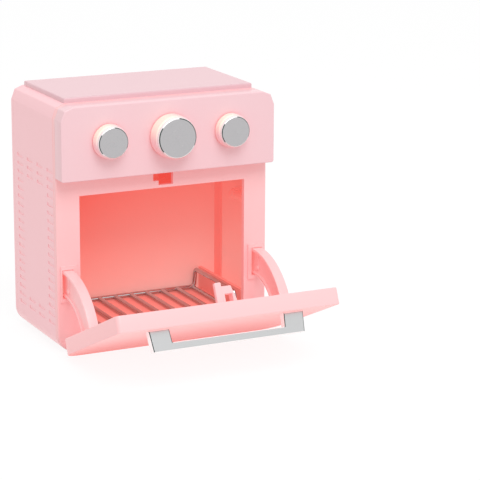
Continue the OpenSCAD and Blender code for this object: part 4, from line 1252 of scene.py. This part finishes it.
class OVEN_OT_knobs(bpy.types.Operator):
    """Three knobs: a pink collar and a bright cap whose rim has painted reflections, each a turned profile"""

    bl_idname = "oven.knobs"
    bl_label = "Knobs"

    cap_t = 2 * MM
    step = 0.7 * MM             # from the collar's side to the cap's
    # The red at a collar's foot is painted shade where the collar meets the panel
    foot = 0.7 * MM             # reach of the red at a collar's foot

    def execute(self, context):
        face = front_y()
        for label in ("left", "middle", "right"):
            low, high = node_box("knob_collar_" + label)
            centre = np.array([(low[0] + high[0]) / 2, face, (low[2] + high[2]) / 2])
            r = (high[0] - low[0]) / 2
            out = face - node_box("knob_cap_" + label)[0][1]
            seat = out - self.cap_t
            body = "knob_" + label
            points, faces = revolve(self.collar(r, seat), centre)
            collar = add_piece("collar_" + label, points, outward(points, faces), body,
                               collar_plastic(), ["knob_collar_" + label])
            self.map_turn(collar.data, centre, r)
            self.paint_foot_shade(collar.data, face)
            points, faces = revolve(self.cap(r - self.step, seat, out), centre)
            cap = add_piece("cap_" + label, points, outward(points, faces), body, cap_metal(),
                            ["knob_cap_" + label])
            self.map_turn(cap.data, centre, r - self.step)
        return {"FINISHED"}

    def collar(self, r, seat):
        """Radius and distance: a small chamfer at the back, a slight taper, and a rounded front edge."""
        a = np.linspace(0, math.pi / 2, 7)
        edge, taper = 0.8 * MM, 0.12 * MM
        foot = [(1 * MM, 0.3 * MM), (r - 0.3 * MM, 0.3 * MM), (r - 0.08 * MM, 0.38 * MM), (r, 0.6 * MM),
                (r, 0.72 * MM)]
        front = [(r - taper - edge * (1 - math.cos(t)), seat - edge * (1 - math.sin(t))) for t in a]
        return foot + front + [(r - 2 * MM, seat), (1 * MM, seat)]

    def map_turn(self, mesh, centre, r):
        """A map of the piece seen along its axis: (x, z) from the axis as shares of the radius."""
        points = np.empty(len(mesh.vertices) * 3)
        mesh.vertices.foreach_get("co", points)
        corners = np.empty(len(mesh.loops), np.int32)
        mesh.loops.foreach_get("vertex_index", corners)
        share = ((points.reshape(-1, 3) - centre) / r)[:, [0, 2]]
        mesh.uv_layers.new(name="turn").data.foreach_set("uv", share[corners].ravel())
        mesh.update()

    def paint_foot_shade(self, mesh, face):
        """Paints shade: reddens the faces next to the panel."""
        mesh.materials.append(contact_plastic())
        set_finishes(mesh, face - face_vectors(mesh, "center")[:, 1] < self.foot)

    def cap(self, r, seat, out):
        """Radius and distance: a short side, a chamfered rim, and a flat face with a small dimple."""
        return [(1 * MM, seat), (r - 0.15 * MM, seat), (r, seat + 0.15 * MM), (r, out - 0.6 * MM),
                (r - 0.03 * MM, out - 0.5 * MM), (r - 0.45 * MM, out - 0.08 * MM),
                (r - 0.55 * MM, out - 0.01 * MM), (r - 0.7 * MM, out), (0.65 * MM, out),
                (0.5 * MM, out - 0.03 * MM), (0.3 * MM, out - 0.08 * MM), (0.05 * MM, out - 0.1 * MM)]


class OVEN_OT_rack(bpy.types.Operator):
    """Wire rack: one bent loop as a tube round a closed path, and straight wires with rounded ends"""

    bl_idname = "oven.rack"
    bl_label = "Wire rack"

    wire = 1.1 * MM
    bend = 2.3 * MM
    lean = math.radians(11)
    count = 10
    tip = 0.3 * MM              # length of a straight wire's narrower end

    def execute(self, context):
        _, paint, _ = settings()
        low, high = node_box("rack_frame")
        wires_low, wires_high = node_box("rack_wires")
        steel = metal("rack_wire", paint.wire, (500.0, 90.0, 500.0), 0.7, 0.08, metallic=0.25)
        base, rail = wires_low[2] + self.wire, high[2] - self.wire
        x = high[0] - self.wire
        y0, y1 = low[1] + self.wire, high[1] - self.wire
        shift = (rail - base) * math.tan(self.lean)
        corners = [(-x, y1, base), (x, y1, base), (x, y1 - shift, rail), (x, y0 + shift, rail),
                   (x, y0, base), (-x, y0, base), (-x, y0 + shift, rail), (-x, y1 - shift, rail)]
        path = bent_path(corners, self.bend)
        middle = np.array([0, (y0 + y1) / 2, base + 2 * MM])
        points, faces = tube(path, self.wire, path - middle, closed=True)
        add_piece("rack_loop", points, outward(points, faces), "rack", steel, ["rack_frame"])
        parts = []
        for place in np.linspace(wires_low[0] + self.wire, wires_high[0] - self.wire, self.count):
            y = np.array([wires_low[1], wires_low[1] + self.tip, wires_high[1] - self.tip, wires_high[1]])
            path = np.stack([np.full(4, place), y, np.full(4, base)], 1)
            radius = [self.wire * 0.8, self.wire, self.wire, self.wire * 0.8]
            parts.append(tube(path, radius, np.tile([1.0, 0, 0], (4, 1))))
        points, faces = one_skin(parts)
        add_piece("rack_bars", points, faces, "rack", steel, ["rack_wires"])
        return {"FINISHED"}


class OVEN_OT_stage(bpy.types.Operator):
    """White floor, even studio light, one large soft lamp and the camera"""

    bl_idname = "oven.stage"
    bl_label = "Stage"

    def execute(self, context):
        scene = context.scene
        _, _, stage = settings()
        scene.view_settings.view_transform = "Standard"
        self.floor()
        self.world(stage.sky)
        self.lamp("main_lamp", (-0.1, -1.0, 1.25), (0, 0, 0.05), 0.9, stage.key)
        self.camera(stage)
        return {"FINISHED"}

    def camera(self, stage):
        """Looks at the target from an azimuth, an elevation and a distance, turned by the roll."""
        a, e = stage.azimuth, stage.elevation
        back = Vector((-math.sin(a) * math.cos(e), -math.cos(a) * math.cos(e), math.sin(e)))
        data = bpy.data.cameras.new("camera")
        data.lens, data.sensor_width = stage.lens, 36.0
        data.clip_start, data.clip_end = 0.01, 20.0
        camera = bpy.data.objects.new("camera", data)
        bpy.context.scene.collection.objects.link(camera)
        camera.location = Vector(stage.target) + back * stage.distance
        turn = (-back).to_track_quat("-Z", "Y").to_matrix().to_4x4()
        camera.matrix_world = Matrix.Translation(camera.location) @ turn @ Matrix.Rotation(stage.roll, 4, "Z")
        bpy.context.scene.camera = camera

    def lamp(self, name, place, target, size, watts):
        """A square lamp of a given side that faces a point."""
        data = bpy.data.lights.new(name, "AREA")
        data.shape, data.size, data.energy = "SQUARE", size, watts
        lamp = bpy.data.objects.new(name, data)
        bpy.context.scene.collection.objects.link(lamp)
        way = Vector(target) - Vector(place)
        lamp.matrix_world = Matrix.Translation(place) @ way.to_track_quat("-Z", "Y").to_matrix().to_4x4()

    def seen(self, tree):
        """1 for what the camera sees itself or in a mirror or a clear body, 0 for what lights the object."""
        path = new_node(tree, "ShaderNodeLightPath")
        first, both = maths(tree, "MAXIMUM"), maths(tree, "MAXIMUM")
        wire_up(tree, [(path, "Is Camera Ray", first, 0), (path, "Is Glossy Ray", first, 1),
                       (first, 0, both, 0), (path, "Is Transmission Ray", both, 1)])
        return both.outputs[0]

    def world(self, strength):
        """White all round: strength 1 where it is seen, and the studio's level where it lights."""
        world = bpy.data.worlds.new("studio")
        bpy.context.scene.world = world
        world.use_nodes = True
        t = world.node_tree
        light = t.nodes["Background"]
        light.inputs["Color"].default_value = (1, 1, 1, 1)
        light.inputs["Strength"].default_value = strength
        white = new_node(t, "ShaderNodeBackground", Color=(1, 1, 1, 1), Strength=1.0)
        mix = new_node(t, "ShaderNodeMixShader")
        t.links.new(self.seen(t), mix.inputs[0])
        t.links.new(light.outputs[0], mix.inputs[1])
        t.links.new(white.outputs[0], mix.inputs[2])
        t.links.new(mix.outputs[0], t.nodes["World Output"].inputs["Surface"])

    def floor(self):
        """A wide white disc under the oven: plain paint, with a little of its own white where it is seen."""
        t = np.linspace(0, 2 * math.pi, 96, endpoint=False)
        ring = np.stack([np.cos(t), np.sin(t), np.zeros_like(t)], 1)
        points, faces = loft([ring * 4.0, ring * 4.0 - [0, 0, 0.01]])
        mesh = bpy.data.meshes.new("floor")
        mesh.from_pydata(points - [0, 0, 0.0002], [], outward(points, faces))
        floor = bpy.data.objects.new("floor", mesh)
        bpy.context.scene.collection.objects.link(floor)
        material = bpy.data.materials.new("floor_white")
        material.use_nodes = True
        tree = material.node_tree
        plain = tree.nodes["Principled BSDF"]
        plain.inputs["Base Color"].default_value = (0.7, 0.7, 0.7, 1)
        plain.inputs["Roughness"].default_value = 0.9
        plain.inputs["Specular IOR Level"].default_value = 0.0
        faint = new_node(tree, "ShaderNodeBsdfDiffuse", Color=(0.13, 0.13, 0.13, 1))
        white = new_node(tree, "ShaderNodeEmission", Color=(1, 1, 1, 1), Strength=0.89)
        add = new_node(tree, "ShaderNodeAddShader")
        mix = new_node(tree, "ShaderNodeMixShader")
        tree.links.new(faint.outputs[0], add.inputs[0])
        tree.links.new(white.outputs[0], add.inputs[1])
        tree.links.new(self.seen(tree), mix.inputs[0])
        tree.links.new(plain.outputs[0], mix.inputs[1])
        tree.links.new(add.outputs[0], mix.inputs[2])
        tree.links.new(mix.outputs[0], tree.nodes["Material Output"].inputs["Surface"])
        mesh.materials.append(material)


class OVEN_PT_panel(bpy.types.Panel):
    """Lists the pieces of the oven and their sizes and colours"""

    bl_label = "Toy oven"
    bl_idname = "OVEN_PT_panel"
    bl_space_type = "VIEW_3D"
    bl_region_type = "UI"
    bl_category = "Toy oven"

    def draw(self, context):
        for group in settings():
            box = self.layout.box()
            for key in group.bl_rna.properties.keys():
                if key not in ("rna_type", "name"):
                    box.prop(group, key)
        for operator in PIECES:
            self.layout.operator(operator.bl_idname)


GROUPS = (OvenEdges, OvenPaint, OvenStage)
PIECES = (OVEN_OT_stage, OVEN_OT_casing, OVEN_OT_fixings, OVEN_OT_control_panel, OVEN_OT_top_plate,
          OVEN_OT_door, OVEN_OT_hook, OVEN_OT_stays, OVEN_OT_handle, OVEN_OT_knobs, OVEN_OT_rack)


def register():
    """Registers the classes and hangs the settings on the scene."""
    for group in GROUPS + PIECES + (OVEN_PT_panel,):
        bpy.utils.register_class(group)
    bpy.types.Scene.oven_edges = PointerProperty(type=OvenEdges)
    bpy.types.Scene.oven_paint = PointerProperty(type=OvenPaint)
    bpy.types.Scene.oven_stage = PointerProperty(type=OvenStage)


def unregister():
    """Takes the settings and the classes away again."""
    for name in ("oven_edges", "oven_paint", "oven_stage"):
        delattr(bpy.types.Scene, name)
    for group in reversed(GROUPS + PIECES + (OVEN_PT_panel,)):
        bpy.utils.unregister_class(group)


def main():
    """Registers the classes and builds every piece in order."""
    register()
    for operator in PIECES:
        group, name = operator.bl_idname.split(".")
        getattr(getattr(bpy.ops, group), name)()


if __name__ == "__main__":
    main()
